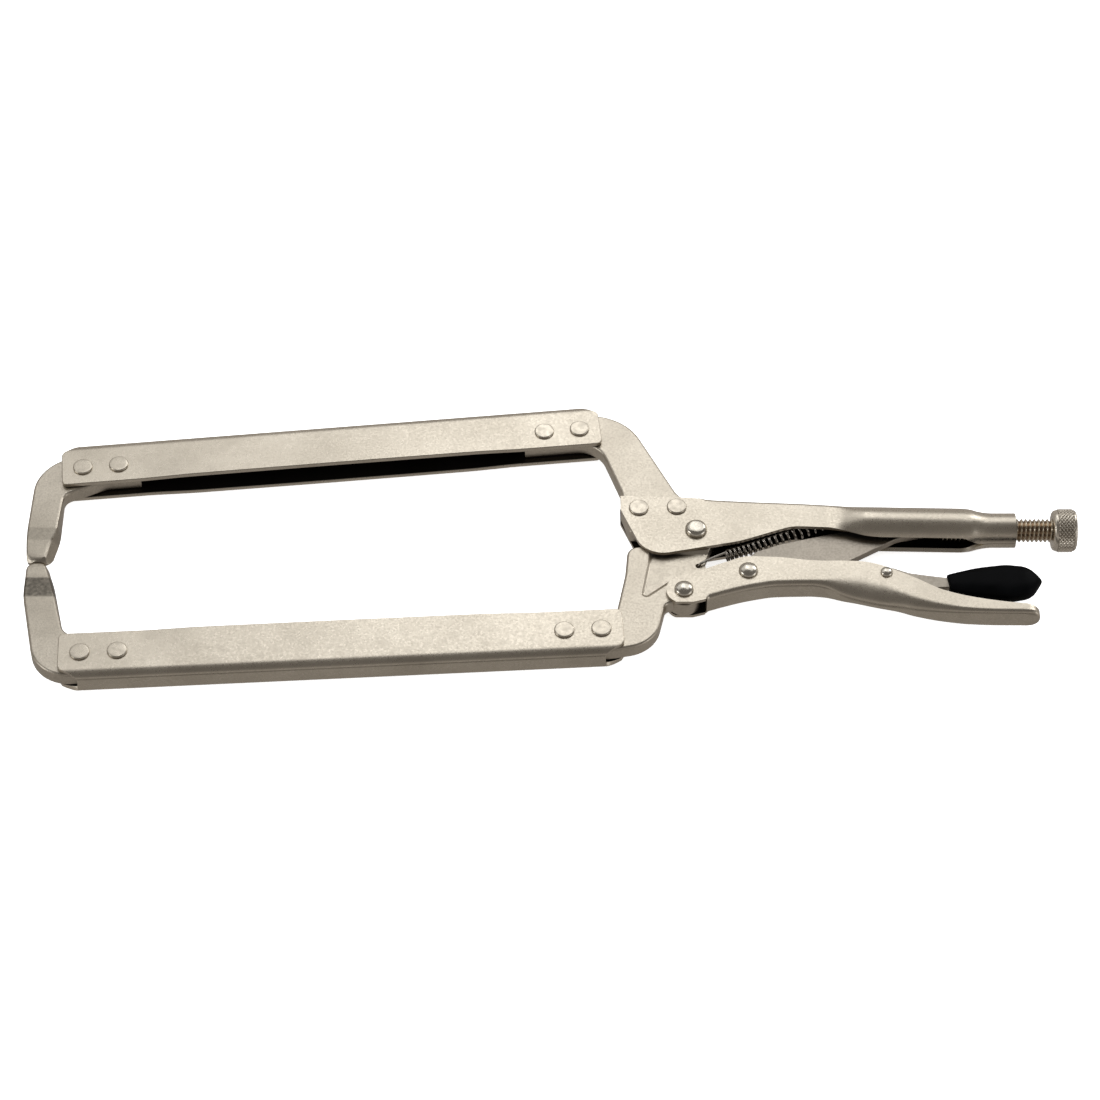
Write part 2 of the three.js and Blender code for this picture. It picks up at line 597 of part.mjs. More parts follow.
HANDLE_RIVETS.forEach((point, i) => {
  place(`handle_rivet_${i + 1}`, rivet(point, HANDLE.half, RIVET.flat), BRIGHT);
});
upperRivetPoints.forEach((point, i) => {
  place(`upper_bar_rivet_${i + 1}`, rivet(point, BAR.half, RIVET.flat), BRIGHT);
});
lowerRivetPoints.forEach((point, i) => {
  place(`lower_bar_rivet_${i + 1}`, rivet(point, BAR.half, RIVET.flat), BRIGHT);
});
place('main_pivot_rivet', rivet(MAIN_PIVOT, HANDLE.half, RIVET.main), BRIGHT);
place('jaw_pivot_rivet', rivet(JAW_PIVOT, HANDLE.half, RIVET.pivot), BRIGHT);
place('link_pivot_rivet', rivet(LINK_PIVOT, HANDLE.half, RIVET.pivot), BRIGHT);
place('lever_rivet', rivet(LEVER_PIVOT, HANDLE.half, RIVET.lever), BRIGHT);

const box = new THREE.Box3().setFromObject(assembly, true);
const middle = box.getCenter(new THREE.Vector3());
assembly.position.set(-middle.x, -middle.y, -box.min.z);

const clamp = new THREE.Group();
clamp.add(assembly);

export default clamp;
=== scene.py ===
import json
import math

import bmesh
import bpy
import numpy as np
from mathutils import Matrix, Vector


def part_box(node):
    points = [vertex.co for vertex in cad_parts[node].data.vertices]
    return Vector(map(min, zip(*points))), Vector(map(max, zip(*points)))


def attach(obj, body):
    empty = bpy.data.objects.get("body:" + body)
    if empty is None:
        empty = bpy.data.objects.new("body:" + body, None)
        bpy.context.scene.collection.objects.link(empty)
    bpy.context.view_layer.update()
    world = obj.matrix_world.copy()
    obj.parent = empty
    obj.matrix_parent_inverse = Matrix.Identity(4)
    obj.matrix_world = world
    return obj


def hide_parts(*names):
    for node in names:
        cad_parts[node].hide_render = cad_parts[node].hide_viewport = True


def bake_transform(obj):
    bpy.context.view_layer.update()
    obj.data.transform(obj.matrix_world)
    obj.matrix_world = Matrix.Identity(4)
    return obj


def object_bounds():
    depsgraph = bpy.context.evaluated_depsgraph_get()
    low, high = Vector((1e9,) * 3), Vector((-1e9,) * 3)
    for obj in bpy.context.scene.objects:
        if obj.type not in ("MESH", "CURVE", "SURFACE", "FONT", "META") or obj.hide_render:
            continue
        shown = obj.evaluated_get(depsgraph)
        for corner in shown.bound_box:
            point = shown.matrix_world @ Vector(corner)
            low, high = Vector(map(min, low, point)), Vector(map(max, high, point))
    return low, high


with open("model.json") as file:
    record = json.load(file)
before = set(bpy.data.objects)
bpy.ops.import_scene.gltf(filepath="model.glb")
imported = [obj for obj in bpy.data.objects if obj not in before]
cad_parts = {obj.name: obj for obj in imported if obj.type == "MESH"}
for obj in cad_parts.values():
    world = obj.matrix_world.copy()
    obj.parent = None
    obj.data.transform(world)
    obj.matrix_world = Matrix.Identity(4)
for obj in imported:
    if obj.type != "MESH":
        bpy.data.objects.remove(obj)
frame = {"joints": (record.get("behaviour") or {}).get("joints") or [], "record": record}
CAD_BOX = [list(corner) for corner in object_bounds()]

# Shapes are drawn in millimetres from the main pivot: +X towards the knob, +Y towards the fixed
# arm, and z = 0 on the clamp's mid-plane.
MM = 0.001
RECORD = frame["record"]
JOINTS = {joint["name"]: joint for joint in frame["joints"]}
BODY_OF = {node: body for body, nodes in RECORD["behaviour"]["bodies"].items() for node in nodes}
SLOT_OF = {part["node"]: part["material_slot"] for part in RECORD["subparts"]}
MAIN = np.array(JOINTS["jaw_open"]["pos_m"])


def middle_mm(node):
    """The middle of a CAD node's box, in the drawing's axes."""
    low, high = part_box(node)
    return (np.array((low + high) / 2) - MAIN) / MM


def ends_mm(node):
    """Where a CAD node's box starts and ends in x, in the drawing's axes."""
    return [(np.array(corner) - MAIN)[0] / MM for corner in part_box(node)]


def pivot_mm(joint):
    """A joint's axis as (x, y) in the drawing's axes."""
    return (np.array(JOINTS[joint]["pos_m"]) - MAIN)[:2] / MM


def unit(vector):
    return vector / np.linalg.norm(vector)


# ---- Driving dimensions ----------------------------------------------------------------------

JAW_PIVOT = pivot_mm("handle_swing")
LINK_PIVOT = pivot_mm("link_fold")
LEVER_PIVOT = pivot_mm("lever_press")
SCREW_AXIS_Y = middle_mm("adjusting_screw")[1]
LINK_NOSE = np.array([96, SCREW_AXIS_Y])

FORGING_HALF = 3.5
FORGING_EDGE = 1.2
PLATE_EDGE = 0.3
BOSS_EDGE = 0.4
HANDLE_HALF = 5.3
HANDLE_SHEET = 1.6
BAR_LENGTH = 235
BAR_HEIGHT = 23.2
BAR_HALF = 5.8
BAR_SPLAY = 0.9
BAR_SHEET = 2
BAR_BEND = 3
BAR_ROLL = 4.4
BAR_SET_BACK = 8
BAR_CORNER = 2.2
BAR_RIVETED = 32.6
BAR_STEPS = 60
END_RIVET = 9.1
TONGUE = 33.7
TONGUE_TOP = 2.6
TONGUE_BOTTOM = 20.7
EYE_RADIUS = 9
TUBE_RADIUS = 9.5
COLLAR_RADIUS = 7.45
COLLAR_END = 137
SCREW_RADIUS = 5.05
THREAD_PITCH = 1.85
KNOB_RADIUS = 9.25
SPRING_COIL = 2.6
SPRING_WIRE = 0.55
SPRING_TURNS = 18
HOOK_HOLE = (0.6, -17.6)

# ---- Materials --------------------------------------------------------------------------------

# The Mix node's colour sockets: its two inputs and its result.
COLOUR_A, COLOUR_B, COLOUR_RESULT = 6, 7, 2


def mixed(tree, share, first, second):
    """A colour between two; either may be a colour or another node's output."""
    node = tree.nodes.new("ShaderNodeMix")
    node.data_type = "RGBA"
    tree.links.new(share, node.inputs["Factor"])
    for index, colour in ((COLOUR_A, first), (COLOUR_B, second)):
        if isinstance(colour, tuple):
            node.inputs[index].default_value = (*colour, 1)
        else:
            tree.links.new(colour, node.inputs[index])
    return node.outputs[COLOUR_RESULT]


def ranged(tree, value, low, high, start, end):
    """Turns start to end into low to high, and goes no further."""
    node = tree.nodes.new("ShaderNodeMapRange")
    for socket, number in (("From Min", start), ("From Max", end), ("To Min", low), ("To Max", high)):
        node.inputs[socket].default_value = number
    tree.links.new(value, node.inputs["Value"])
    return node.outputs["Result"]


def product(tree, first, second):
    node = tree.nodes.new("ShaderNodeMath")
    node.operation = "MULTIPLY"
    tree.links.new(first, node.inputs[0])
    tree.links.new(second, node.inputs[1])
    return node.outputs["Value"]


class Surface:
    """A principled material whose colour, roughness and relief come from noise in millimetres."""

    def __init__(self, name, metallic):
        self.material = bpy.data.materials.new(name)
        self.material.use_nodes = True
        self.tree = self.material.node_tree
        self.shader = self.tree.nodes["Principled BSDF"]
        self.shader.inputs["Metallic"].default_value = metallic
        self.place = self.tree.nodes.new("ShaderNodeTexCoord").outputs["Object"]

    def link(self, output, node, socket):
        self.tree.links.new(output, node.inputs[socket])

    def noise(self, size, detail):
        """Noise whose lumps are about size millimetres across."""
        node = self.tree.nodes.new("ShaderNodeTexNoise")
        node.inputs["Scale"].default_value = 1 / (size * MM)
        node.inputs["Detail"].default_value = detail
        self.link(self.place, node, "Vector")
        return node.outputs["Fac"]

    def ranged(self, value, low, high, start=0.3, end=0.7):
        return ranged(self.tree, value, low, high, start, end)

    def blended(self, share, first, second):
        return mixed(self.tree, share, first, second)

    def relief(self, height, depth, strength=1.0, under=None):
        """Bump of that depth in millimetres, on top of another bump if there is one."""
        node = self.tree.nodes.new("ShaderNodeBump")
        node.inputs["Distance"].default_value = depth * MM
        node.inputs["Strength"].default_value = strength
        self.link(height, node, "Height")
        if under is not None:
            self.link(under, node, "Normal")
        return node.outputs["Normal"]

    def along_y(self, low, high):
        """1 between two heights in the drawing's axes, fading to 0 just outside them."""
        soft = 1.1
        split = self.tree.nodes.new("ShaderNodeSeparateXYZ")
        self.link(self.place, split, "Vector")
        y = split.outputs["Y"]
        low, high = (MAIN[1] + edge * MM for edge in (low, high))
        rise = self.ranged(y, 0, 1, low - soft * MM, low)
        fall = self.ranged(y, 1, 0, high, high + soft * MM)
        return product(self.tree, rise, fall)

    def from_screw(self, near, far):
        """0 to 1 between two distances from the screw's axis, for grooves and their crests."""
        split = self.tree.nodes.new("ShaderNodeSeparateXYZ")
        self.link(self.place, split, "Vector")
        flat = self.tree.nodes.new("ShaderNodeCombineXYZ")
        self.link(split.outputs["Y"], flat, "Y")
        self.link(split.outputs["Z"], flat, "Z")
        away = self.tree.nodes.new("ShaderNodeVectorMath")
        away.operation = "DISTANCE"
        self.link(flat.outputs["Vector"], away, 0)
        away.inputs[1].default_value = (0, MAIN[1] + SCREW_AXIS_Y * MM, MAIN[2])
        return self.ranged(away.outputs["Value"], 0, 1, near * MM, far * MM)

    def finish(self, colour, roughness, normal):
        self.link(colour, self.shader, "Base Color")
        self.link(roughness, self.shader, "Roughness")
        self.link(normal, self.shader, "Normal")
        return self.material


def toned(colour, share):
    """A colour made darker, to that share of its light."""
    return tuple(share * part for part in colour)


# Sizes of the steel's clouds and patches, and of the mottle in the painted shade band, in millimetres.
CLOUDS = 24
PATCHES = 5
MOTTLE = 1.6


def plated_steel(name, light, dark, rough, grain=0.55, depth=0.03, speck=0.22, lumps=0.025,
                 shade_band=None, groove=None):
    """Satin nickel over blasted steel: a fine grain, cloudy patches and a few stains.

    A band (low, high, darkest, lightest) in y, when given, is painted darker with a mottle: painted shade
    for the darker reflection of a tip's sloped, ground face there.
    groove is (near, far, colour): the surface takes that darker colour nearer the screw's axis than near,
    fading back to its own colour by far.
    """
    surface = Surface(name, 1.0)
    clouds = surface.noise(CLOUDS, 2.0)
    patches = surface.noise(PATCHES, 4.0)
    fine = surface.noise(grain, 2.0)
    speckle = surface.noise(grain * 1.7, 3.0)
    tone = surface.blended(surface.ranged(clouds, 0, 1), light, dark)
    tone = surface.blended(surface.ranged(patches, 0, 0.25, 0.5, 0.75), tone, toned(dark, 0.8))
    colour = surface.blended(surface.ranged(speckle, 0, speck, 0.42, 0.66), tone, toned(dark, 0.66))
    # Painted shade: a mottled darker band in y, standing in for the darker reflection of the sloped face.
    if shade_band:
        low, high, darkest, lightest = shade_band
        mottle = surface.noise(MOTTLE, 4.0)
        shares = surface.ranged(mottle, 0, 1)
        band_shade = surface.blended(shares, toned(dark, darkest), toned(dark, lightest))
        colour = surface.blended(surface.along_y(low, high), colour, band_shade)
    if groove:
        # Darker towards the groove bottoms, by distance from the screw's axis.
        near, far, groove_tone = groove
        colour = surface.blended(surface.from_screw(near, far), groove_tone, colour)
    roughness = surface.ranged(speckle, rough - 0.05, rough + 0.08)
    normal = surface.relief(fine, depth)
    normal = surface.relief(patches, lumps, 0.35, under=normal)
    return surface.finish(colour, roughness, normal)


VINYL_DARK = (0.0009, 0.001, 0.0012)
VINYL_LIGHT = (0.0018, 0.0019, 0.0023)


def vinyl(name):
    """Dipped black vinyl, with the faint orange peel of a dip coat."""
    surface = Surface(name, 0.0)
    surface.shader.inputs["Specular IOR Level"].default_value = 0.03
    peel = surface.noise(1.6, 2.0)
    dust = surface.noise(7, 4.0)
    colour = surface.blended(surface.ranged(dust, 0, 1), VINYL_DARK, VINYL_LIGHT)
    roughness = surface.ranged(dust, 0.34, 0.46)
    return surface.finish(colour, roughness, surface.relief(peel, 0.05, 0.5))


NICKEL_LIGHT = (0.68, 0.625, 0.53)
NICKEL_DARK = (0.575, 0.525, 0.44)
KNOB_LIGHT = (0.8, 0.75, 0.66)
KNOB_DARK = (0.7, 0.65, 0.56)
# Darker colours towards the bottoms of the thread's and the knurl's grooves.
THREAD_GROOVE_TONE = (0.36, 0.27, 0.19)
KNURL_GROOVE_TONE = (0.26, 0.22, 0.175)
MATERIALS = {
    "forged_arm": plated_steel("forged_nickel", NICKEL_LIGHT, NICKEL_DARK, 0.34, depth=0.04),
    "bar_sheet": plated_steel(
        "bar_nickel", NICKEL_LIGHT, NICKEL_DARK, 0.3, depth=0.014, speck=0.14, lumps=0.01,
    ),
    "handle_sheet": plated_steel(
        "handle_nickel", NICKEL_LIGHT, NICKEL_DARK, 0.3, depth=0.016, speck=0.16, lumps=0.015,
    ),
    # Painted shade: the link's nickel is a darker copy of the others, standing in for the shadow under
    # the handle.
    "linkage_plate": plated_steel("linkage_nickel_painted_shade", (0.41, 0.37, 0.315), (0.33, 0.3, 0.255), 0.36),
    "rivet_steel": plated_steel("rivet_nickel", (0.76, 0.72, 0.64), (0.64, 0.6, 0.52), 0.2, depth=0.015),
    "screw_thread": plated_steel(
        "thread_nickel", (0.8, 0.73, 0.62), (0.7, 0.63, 0.52), 0.2, depth=0.008,
        groove=(4, 4.8, THREAD_GROOVE_TONE),
    ),
    "knob_knurl": plated_steel(
        "knurl_nickel", KNOB_LIGHT, KNOB_DARK, 0.22, depth=0.008, groove=(8.8, 9.15, KNURL_GROOVE_TONE),
    ),
    "spring_wire": plated_steel("spring_wire", (0.5, 0.47, 0.43), (0.38, 0.355, 0.32), 0.2, depth=0.008),
    "grip_vinyl": vinyl("grip_vinyl"),
}
# Painted shade: a near-black copy of the nickel for the inside faces of the pressed sheet, standing in
# for the shadow inside the channels.
INSIDE_PAINTED_SHADE = plated_steel("inside_painted_shade", (0.075, 0.066, 0.056), (0.045, 0.04, 0.034), 0.5)
PEENED = plated_steel(
    "peened_nickel", NICKEL_LIGHT, NICKEL_DARK, 0.28, grain=1.4, depth=0.022, speck=0.3,
)
PLAIN_KNOB = plated_steel("plain_knob_nickel", KNOB_LIGHT, KNOB_DARK, 0.26, depth=0.012)
# The tips' bands in y are painted darker: painted shade for the darker reflection of their sloped, ground
# faces.
TIP_LIGHT = toned(NICKEL_LIGHT, 0.9)
TIP_DARK = toned(NICKEL_DARK, 0.85)
UPPER_TIP = plated_steel(
    "upper_tip_nickel", TIP_LIGHT, TIP_DARK, 0.32, depth=0.045, speck=0.3, shade_band=(-2.6, 2.4, 0.74, 0.92),
)
LOWER_TIP = plated_steel(
    "lower_tip_nickel", TIP_LIGHT, TIP_DARK, 0.32, depth=0.045, speck=0.3,
    shade_band=(-34.6, -24.6, 0.26, 0.55),
)

# ---- Outlines ---------------------------------------------------------------------------------

ARC_STEP = math.radians(6)


def turned_by(vector, angle):
    c, s = math.cos(angle), math.sin(angle)
    return np.array([c * vector[0] - s * vector[1], s * vector[0] + c * vector[1]])


def path(corners, closed=True):
    """Points along corners (x, y) or (x, y, radius), with each round corner as an arc.

    A closed outline comes back anticlockwise.
    """
    points = []
    for i, corner in enumerate(corners):
        here = np.array(corner[:2], float)
        radius = corner[2] if len(corner) > 2 else 0
        if radius == 0:
            points.append(here)
            continue
        back = unit(np.array(corners[i - 1][:2]) - here)
        ahead = unit(np.array(corners[(i + 1) % len(corners)][:2]) - here)
        half_angle = math.acos(np.clip(back @ ahead, -1, 1)) / 2
        centre = here + unit(back + ahead) * radius / math.sin(half_angle)
        start = here + back * radius / math.tan(half_angle) - centre
        turn = (math.pi - 2 * half_angle) * np.sign(ahead[0] * back[1] - ahead[1] * back[0])
        steps = max(2, math.ceil(abs(turn) / ARC_STEP))
        points += [centre + turned_by(start, turn * k / steps) for k in range(steps + 1)]
    points = np.array(points)
    if closed:
        after = np.roll(points, -1, 0)
        area = np.sum(points[:, 0] * after[:, 1] - points[:, 1] * after[:, 0])
        points = points if area > 0 else points[::-1]
    return points


def circle(centre, radius, sides=48):
    angles = np.arange(sides) * 2 * math.pi / sides
    return np.array(centre[:2]) + radius * np.column_stack([np.cos(angles), np.sin(angles)])


def inset(points, distance):
    """A closed anticlockwise outline moved inwards."""
    ahead = np.roll(points, -1, 0) - points
    ahead /= np.linalg.norm(ahead, axis=1)[:, None]
    normal = np.column_stack([-ahead[:, 1], ahead[:, 0]])
    before = np.roll(normal, 1, 0)
    return points + distance * (normal + before) / (1 + np.sum(normal * before, axis=1))[:, None]


def curve(xs, ys):
    """A smooth curve through the points that doesn't overshoot them, as a function of x."""
    xs, ys = np.array(xs, float), np.array(ys, float)
    step = np.diff(xs)
    slope = np.diff(ys) / step
    tangent = np.concatenate([slope[:1], np.zeros(len(xs) - 2), slope[-1:]])
    for i in range(1, len(xs) - 1):
        if slope[i - 1] * slope[i] > 0:
            tangent[i] = 2 * slope[i - 1] * slope[i] / (slope[i - 1] + slope[i])

    def at(x):
        x = min(max(x, xs[0]), xs[-1])
        i = int(np.clip(np.searchsorted(xs, x) - 1, 0, len(step) - 1))
        t = (x - xs[i]) / step[i]
        rest = 1 - t
        return (
            (1 + 2 * t) * rest * rest * ys[i] + t * rest * rest * step[i] * tangent[i]
            + t * t * (3 - 2 * t) * ys[i + 1] - t * t * rest * step[i] * tangent[i + 1]
        )

    return at


def interpolated(table, column):
    return curve([row[0] for row in table], [row[column] for row in table])


# ---- Meshes -----------------------------------------------------------------------------------


def shell(rings, around=True, caps=True):
    """Vertices and faces over rings of points, each ring as long as the next."""
    count = len(rings[0])
    vertices = [tuple(point) for ring in rings for point in ring]
    faces = []
    for i in range(len(rings) - 1):
        for j in range(count if around else count - 1):
            k = (j + 1) % count
            faces.append((i * count + j, i * count + k, (i + 1) * count + k, (i + 1) * count + j))
    if caps:
        faces.append(tuple(reversed(range(count))))
        faces.append(tuple(range((len(rings) - 1) * count, len(rings) * count)))
    return vertices, faces


def stack(points, levels):
    """A solid through copies of an outline, each level an (inset, z) from the lowest up."""
    rings = []
    for distance, z in levels:
        ring = inset(points, distance)
        rings.append(np.column_stack([ring, np.full(len(ring), z)]))
    return shell(rings)


EDGE_STEPS = 4


def plate(points, half, edge):
    """A plate from z = -half to half whose two rims are rounded to that radius."""
    angles = [k / EDGE_STEPS * math.pi / 2 for k in range(EDGE_STEPS + 1)]
    lower = [(edge * (1 - math.sin(a)), edge * (1 - math.cos(a)) - half) for a in angles]
    return stack(points, lower + [(distance, -z) for distance, z in reversed(lower)])


def lathe(profile, centre):
    """A solid turned on the upright axis through centre, from a profile of (radius, z).

    The profile starts and ends on the axis.
    """
    sides = 56
    angles = np.arange(sides) * 2 * math.pi / sides
    inner = profile[1:-1]
    rings = []
    for radius, z in inner:
        ring = np.array(centre[:2]) + radius * np.column_stack([np.cos(angles), np.sin(angles)])
        rings.append(np.column_stack([ring, np.full(sides, z)]))
    vertices, faces = shell(rings, caps=False)
    for end, start, flip in ((profile[0], 0, True), (profile[-1], (len(inner) - 1) * sides, False)):
        tip = len(vertices)
        vertices.append((centre[0], centre[1], end[1]))
        for j in range(sides):
            a, b = start + j, start + (j + 1) % sides
            faces.append((b, a, tip) if flip else (a, b, tip))
    return vertices, faces


def screw_ring(x, radius, angles):
    """A ring round the screw's axis; its radius may be one number or one for each angle."""
    across, up = radius * np.cos(angles), radius * np.sin(angles)
    return np.column_stack([np.full(len(angles), x), SCREW_AXIS_Y + up, across])


def mesh_object(name, vertices, faces):
    mesh = bpy.data.meshes.new(name)
    points = [tuple(MAIN + np.array(point) * MM) for point in vertices]
    mesh.from_pydata(points, [], faces)
    piece = bpy.data.objects.new(name, mesh)
    bpy.context.scene.collection.objects.link(piece)
    return piece


def facing_out(piece):
    """Turns a closed mesh's faces outwards and joins what coincides."""
    work = bmesh.new()
    work.from_mesh(piece.data)
    bmesh.ops.remove_doubles(work, verts=work.verts, dist=1e-7)
    bmesh.ops.recalc_face_normals(work, faces=work.faces)
    work.to_mesh(piece.data)
    work.free()


def closed_object(name, vertices, faces):
    piece = mesh_object(name, vertices, faces)
    facing_out(piece)
    return piece


def modified(piece):
    """Applies the piece's modifiers to its mesh."""
    graph = bpy.context.evaluated_depsgraph_get()
    mesh = bpy.data.meshes.new_from_object(piece.evaluated_get(graph))
    piece.modifiers.clear()
    piece.data = mesh


def combined(piece, other, operation):
    """Joins to the piece, or cuts from it, another closed shape, which then goes."""
    modifier = piece.modifiers.new(operation.lower(), "BOOLEAN")
    modifier.object = other
    modifier.operation = operation
    modifier.solver = "EXACT"
    modified(piece)
    bpy.data.objects.remove(other)


SHARP_ANGLE = math.radians(38)


def dressed(piece, node, material=None):
    """Makes the piece stand in for a CAD node: hides the node, joins the piece to the node's body, and
    gives it the slot's material and smooth shading.
    """
    mesh = piece.data
    inner = [polygon.material_index for polygon in mesh.polygons]
    mesh.materials.clear()
    mesh.materials.append(material or MATERIALS[SLOT_OF[node]])
    # Faces on the inside take the second material, the near-black painted shade.
    if any(inner):
        mesh.materials.append(INSIDE_PAINTED_SHADE)
        mesh.polygons.foreach_set("material_index", inner)
    mesh.polygons.foreach_set("use_smooth", [True] * len(mesh.polygons))
    mesh.set_sharp_from_angle(angle=SHARP_ANGLE)
    weights = piece.modifiers.new("weighted normals", "WEIGHTED_NORMAL")
    weights.keep_sharp = True
    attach(piece, BODY_OF[node])
    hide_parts(node)
    return piece


JOINED, CUT = "UNION", "DIFFERENCE"


def solid(name, node, vertices, faces, changes=(), material=None):
    """A closed piece in place of a CAD node, with shapes joined to it or cut from it in turn."""
    piece = closed_object(name, vertices, faces)
    for operation, other in changes:
        combined(piece, closed_object("tool", *other), operation)
    return dressed(piece, node, material)


def sheet_piece(name, node, rings, thickness, rim=0.3, kept=lambda row, column: True):
    """Pressed sheet: the outside is the grid of rings, and the metal lies inside it.

    kept says which cells of the grid there are. The inside faces take the second material, a near-black
    painted shade standing in for the shadow inside the pressed channels.
    """
    vertices, faces = shell(rings, around=False, caps=False)
    columns = len(rings[0]) - 1
    faces = [face for index, face in enumerate(faces) if kept(*divmod(index, columns))]
    piece = mesh_object(name, vertices, faces)
    work = bmesh.new()
    work.from_mesh(piece.data)
    loose = [vertex for vertex in work.verts if not vertex.link_faces]
    bmesh.ops.delete(work, geom=loose, context="VERTS")
    work.to_mesh(piece.data)
    work.free()
    for material in (MATERIALS[SLOT_OF[node]], INSIDE_PAINTED_SHADE):
        piece.data.materials.append(material)
    thick = piece.modifiers.new("sheet", "SOLIDIFY")
    thick.material_offset = 1
    thick.thickness = thickness * MM
    thick.offset = -1
    thick.use_even_offset = True
    modified(piece)
    rims = piece.modifiers.new("rims", "BEVEL")
    rims.width = rim * MM
    rims.segments = 3
    rims.limit_method = "ANGLE"
    rims.angle_limit = math.radians(50)
    modified(piece)
    return dressed(piece, node)


# ---- Reach arms: channel bars, forged tips and forged roots ------------------------------------


class BarFrame:
    """Where a bar lies, from its first and last rivets; its web is on the side of outward."""

    def __init__(self, prefix, rivet_depth, outward):
        first, last = (middle_mm(f"{prefix}_rivet_{i}")[:2] for i in (1, 4))
        self.along = unit(last - first)
        self.out = outward * np.array([-self.along[1], self.along[0]])
        self.start = first - END_RIVET * self.along + rivet_depth * self.out

    def at(self, along, depth, radius=0):
        x, y = self.start + along * self.along - depth * self.out
        return (x, y, radius)


# Levels of a cutter that goes right through a forging.
CUT_THROUGH = [(0, -9), (0, 9)]

UPPER = BarFrame("upper_bar", 14.1, 1)
LOWER = BarFrame("lower_bar", 12.8, -1)


def bar_section(share):
    """A bar's outside as (z, depth), from one open edge over the web to the other."""
    mouth = BAR_HALF + BAR_SPLAY * share
    depths = [BAR_HEIGHT, BAR_HEIGHT - 0.8, BAR_HEIGHT - BAR_CORNER, 17, 12, 8, 6, BAR_ROLL]
    wall = [(np.interp(d, [BAR_ROLL, BAR_HEIGHT], [BAR_HALF, mouth]), d) for d in depths]
    angles = [k / 10 * math.pi / 2 for k in range(1, 11)]
    flat = BAR_HALF - BAR_BEND
    bend = [(flat + BAR_BEND * math.cos(a), BAR_ROLL * (1 - math.sin(a))) for a in angles]
    half = wall + bend + [(flat * 0.5, 0)]
    return half + [(0, 0)] + [(-z, depth) for z, depth in reversed(half)]


def bar_end(depth):
    """How far the end is cut back at that depth: the notched web, the edge and the corner."""
    depths = [0, 5, BAR_HEIGHT - BAR_CORNER, BAR_HEIGHT - 0.8, BAR_HEIGHT]
    return np.interp(depth, depths, [BAR_SET_BACK, 0, 0, 0.6, BAR_CORNER])


def channel_bar(name, node, bar):
    """A bar whose open edges splay a little between its riveted ends."""
    swell = curve([0, BAR_RIVETED, BAR_RIVETED + 25, BAR_LENGTH / 2], [0, 0, 0.8, 1])
    rings = []
    for t in np.linspace(0, 1, BAR_STEPS + 1):
        x = t * BAR_LENGTH
        section = bar_section(swell(min(x, BAR_LENGTH - x)))
        ring = []
        for z, depth in section:
            back = bar_end(depth)
            place = bar.at(back + t * (BAR_LENGTH - 2 * back), depth)
            ring.append((place[0], place[1], z))
        rings.append(ring)
    if bar is UPPER:
        rings = [ring[::-1] for ring in rings]
    return sheet_piece(name, node, rings, BAR_SHEET, rim=0.35)


def cut_off(work, corner, along, down):
    """Cuts a chamfer through three points (x, y, z), and its twin on the other face."""
    for side in (1, -1):
        points = [np.array((x, y, side * z)) for x, y, z in (corner, along, down)]
        normal = unit(np.cross(points[1] - points[0], points[2] - points[0]))
        normal *= np.sign(normal[2] * side)
        geometry = work.verts[:] + work.edges[:] + work.faces[:]
        place = MAIN + points[0] * MM
        cut = bmesh.ops.bisect_plane(
            work, geom=geometry, plane_co=place, plane_no=normal, clear_outer=True,
        )
        edges = [item for item in cut["geom_cut"] if isinstance(item, bmesh.types.BMEdge)]
        bmesh.ops.contextual_create(work, geom=edges)


def thinned_tip(piece, levels, narrowing, chamfers):
    """Thins a tip by (y, half thickness): each face follows those heights towards the nose.

    narrowing gives, by (y, share), how much narrower the upper face is than the lower one.
    """
    work = bmesh.new()
    work.from_mesh(piece.data)
    for y, _ in levels:
        geometry = work.verts[:] + work.edges[:] + work.faces[:]
        place = MAIN + np.array([0, y * MM, 0])
        bmesh.ops.bisect_plane(work, geom=geometry, plane_co=place, plane_no=(0, 1, 0))
    heights = curve([y for y, _ in levels], [half for _, half in levels])
    lean = curve([y for y, _ in narrowing], [share for _, share in narrowing])
    outer = min(vertex.co.x for vertex in work.verts)
    for vertex in work.verts:
        y = (vertex.co.y - MAIN[1]) / MM
        share = heights(y) / FORGING_HALF
        height = (vertex.co.z - MAIN[2]) / (FORGING_HALF * MM)
        vertex.co.x = outer + (vertex.co.x - outer) * (1 - lean(y) * (1 + height) / 2)
        vertex.co.z = MAIN[2] + (vertex.co.z - MAIN[2]) * share
    for chamfer in chamfers:
        cut_off(work, *chamfer)
    work.to_mesh(piece.data)
    work.free()


def jaw_tip(name, node, corners, levels, material, narrowing, chamfers=()):
    piece = closed_object(name, *plate(path(corners), FORGING_HALF, FORGING_EDGE))
    thinned_tip(piece, levels, narrowing, chamfers)
    facing_out(piece)
    return dressed(piece, node, material)


def upper_jaw_tip():
    corners = [
        UPPER.at(TONGUE, TONGUE_TOP), UPPER.at(9, TONGUE_TOP),
        (-285.6, 35.6, 20), (-286.6, -2, 60), (-284.8, -14.9, 2.2), (-274.7, -14.9, 2.4),
        (-272.2, -2, 30), (-272.5, 21.5, 5), UPPER.at(19, TONGUE_BOTTOM, 8),
        UPPER.at(TONGUE, TONGUE_BOTTOM),
    ]
    levels = [
        (-15, 2.0), (-12.4, 2.45), (-8, 2.6), (-4, 2.75), (-3.2, 2.85), (2.6, 3.4), (3.4, 3.5), (60, 3.5),
    ]
    narrowing = [(-15, 0.25), (-8, 0.25), (-4, 0.22), (0, 0.14), (8, 0.03), (16, 0), (60, 0)]
    ridge = (-280.9, -14.9, 2.1)
    chamfers = [
        (ridge, (-285, -11.4, 2.5), (-284.6, -14.9, 0.5)),
        (ridge, (-277.6, -12.2, 2.5), (-276, -14.9, 0.6)),
    ]
    return jaw_tip("upper_tip_forging", "upper_jaw_tip", corners, levels, UPPER_TIP, narrowing, chamfers)


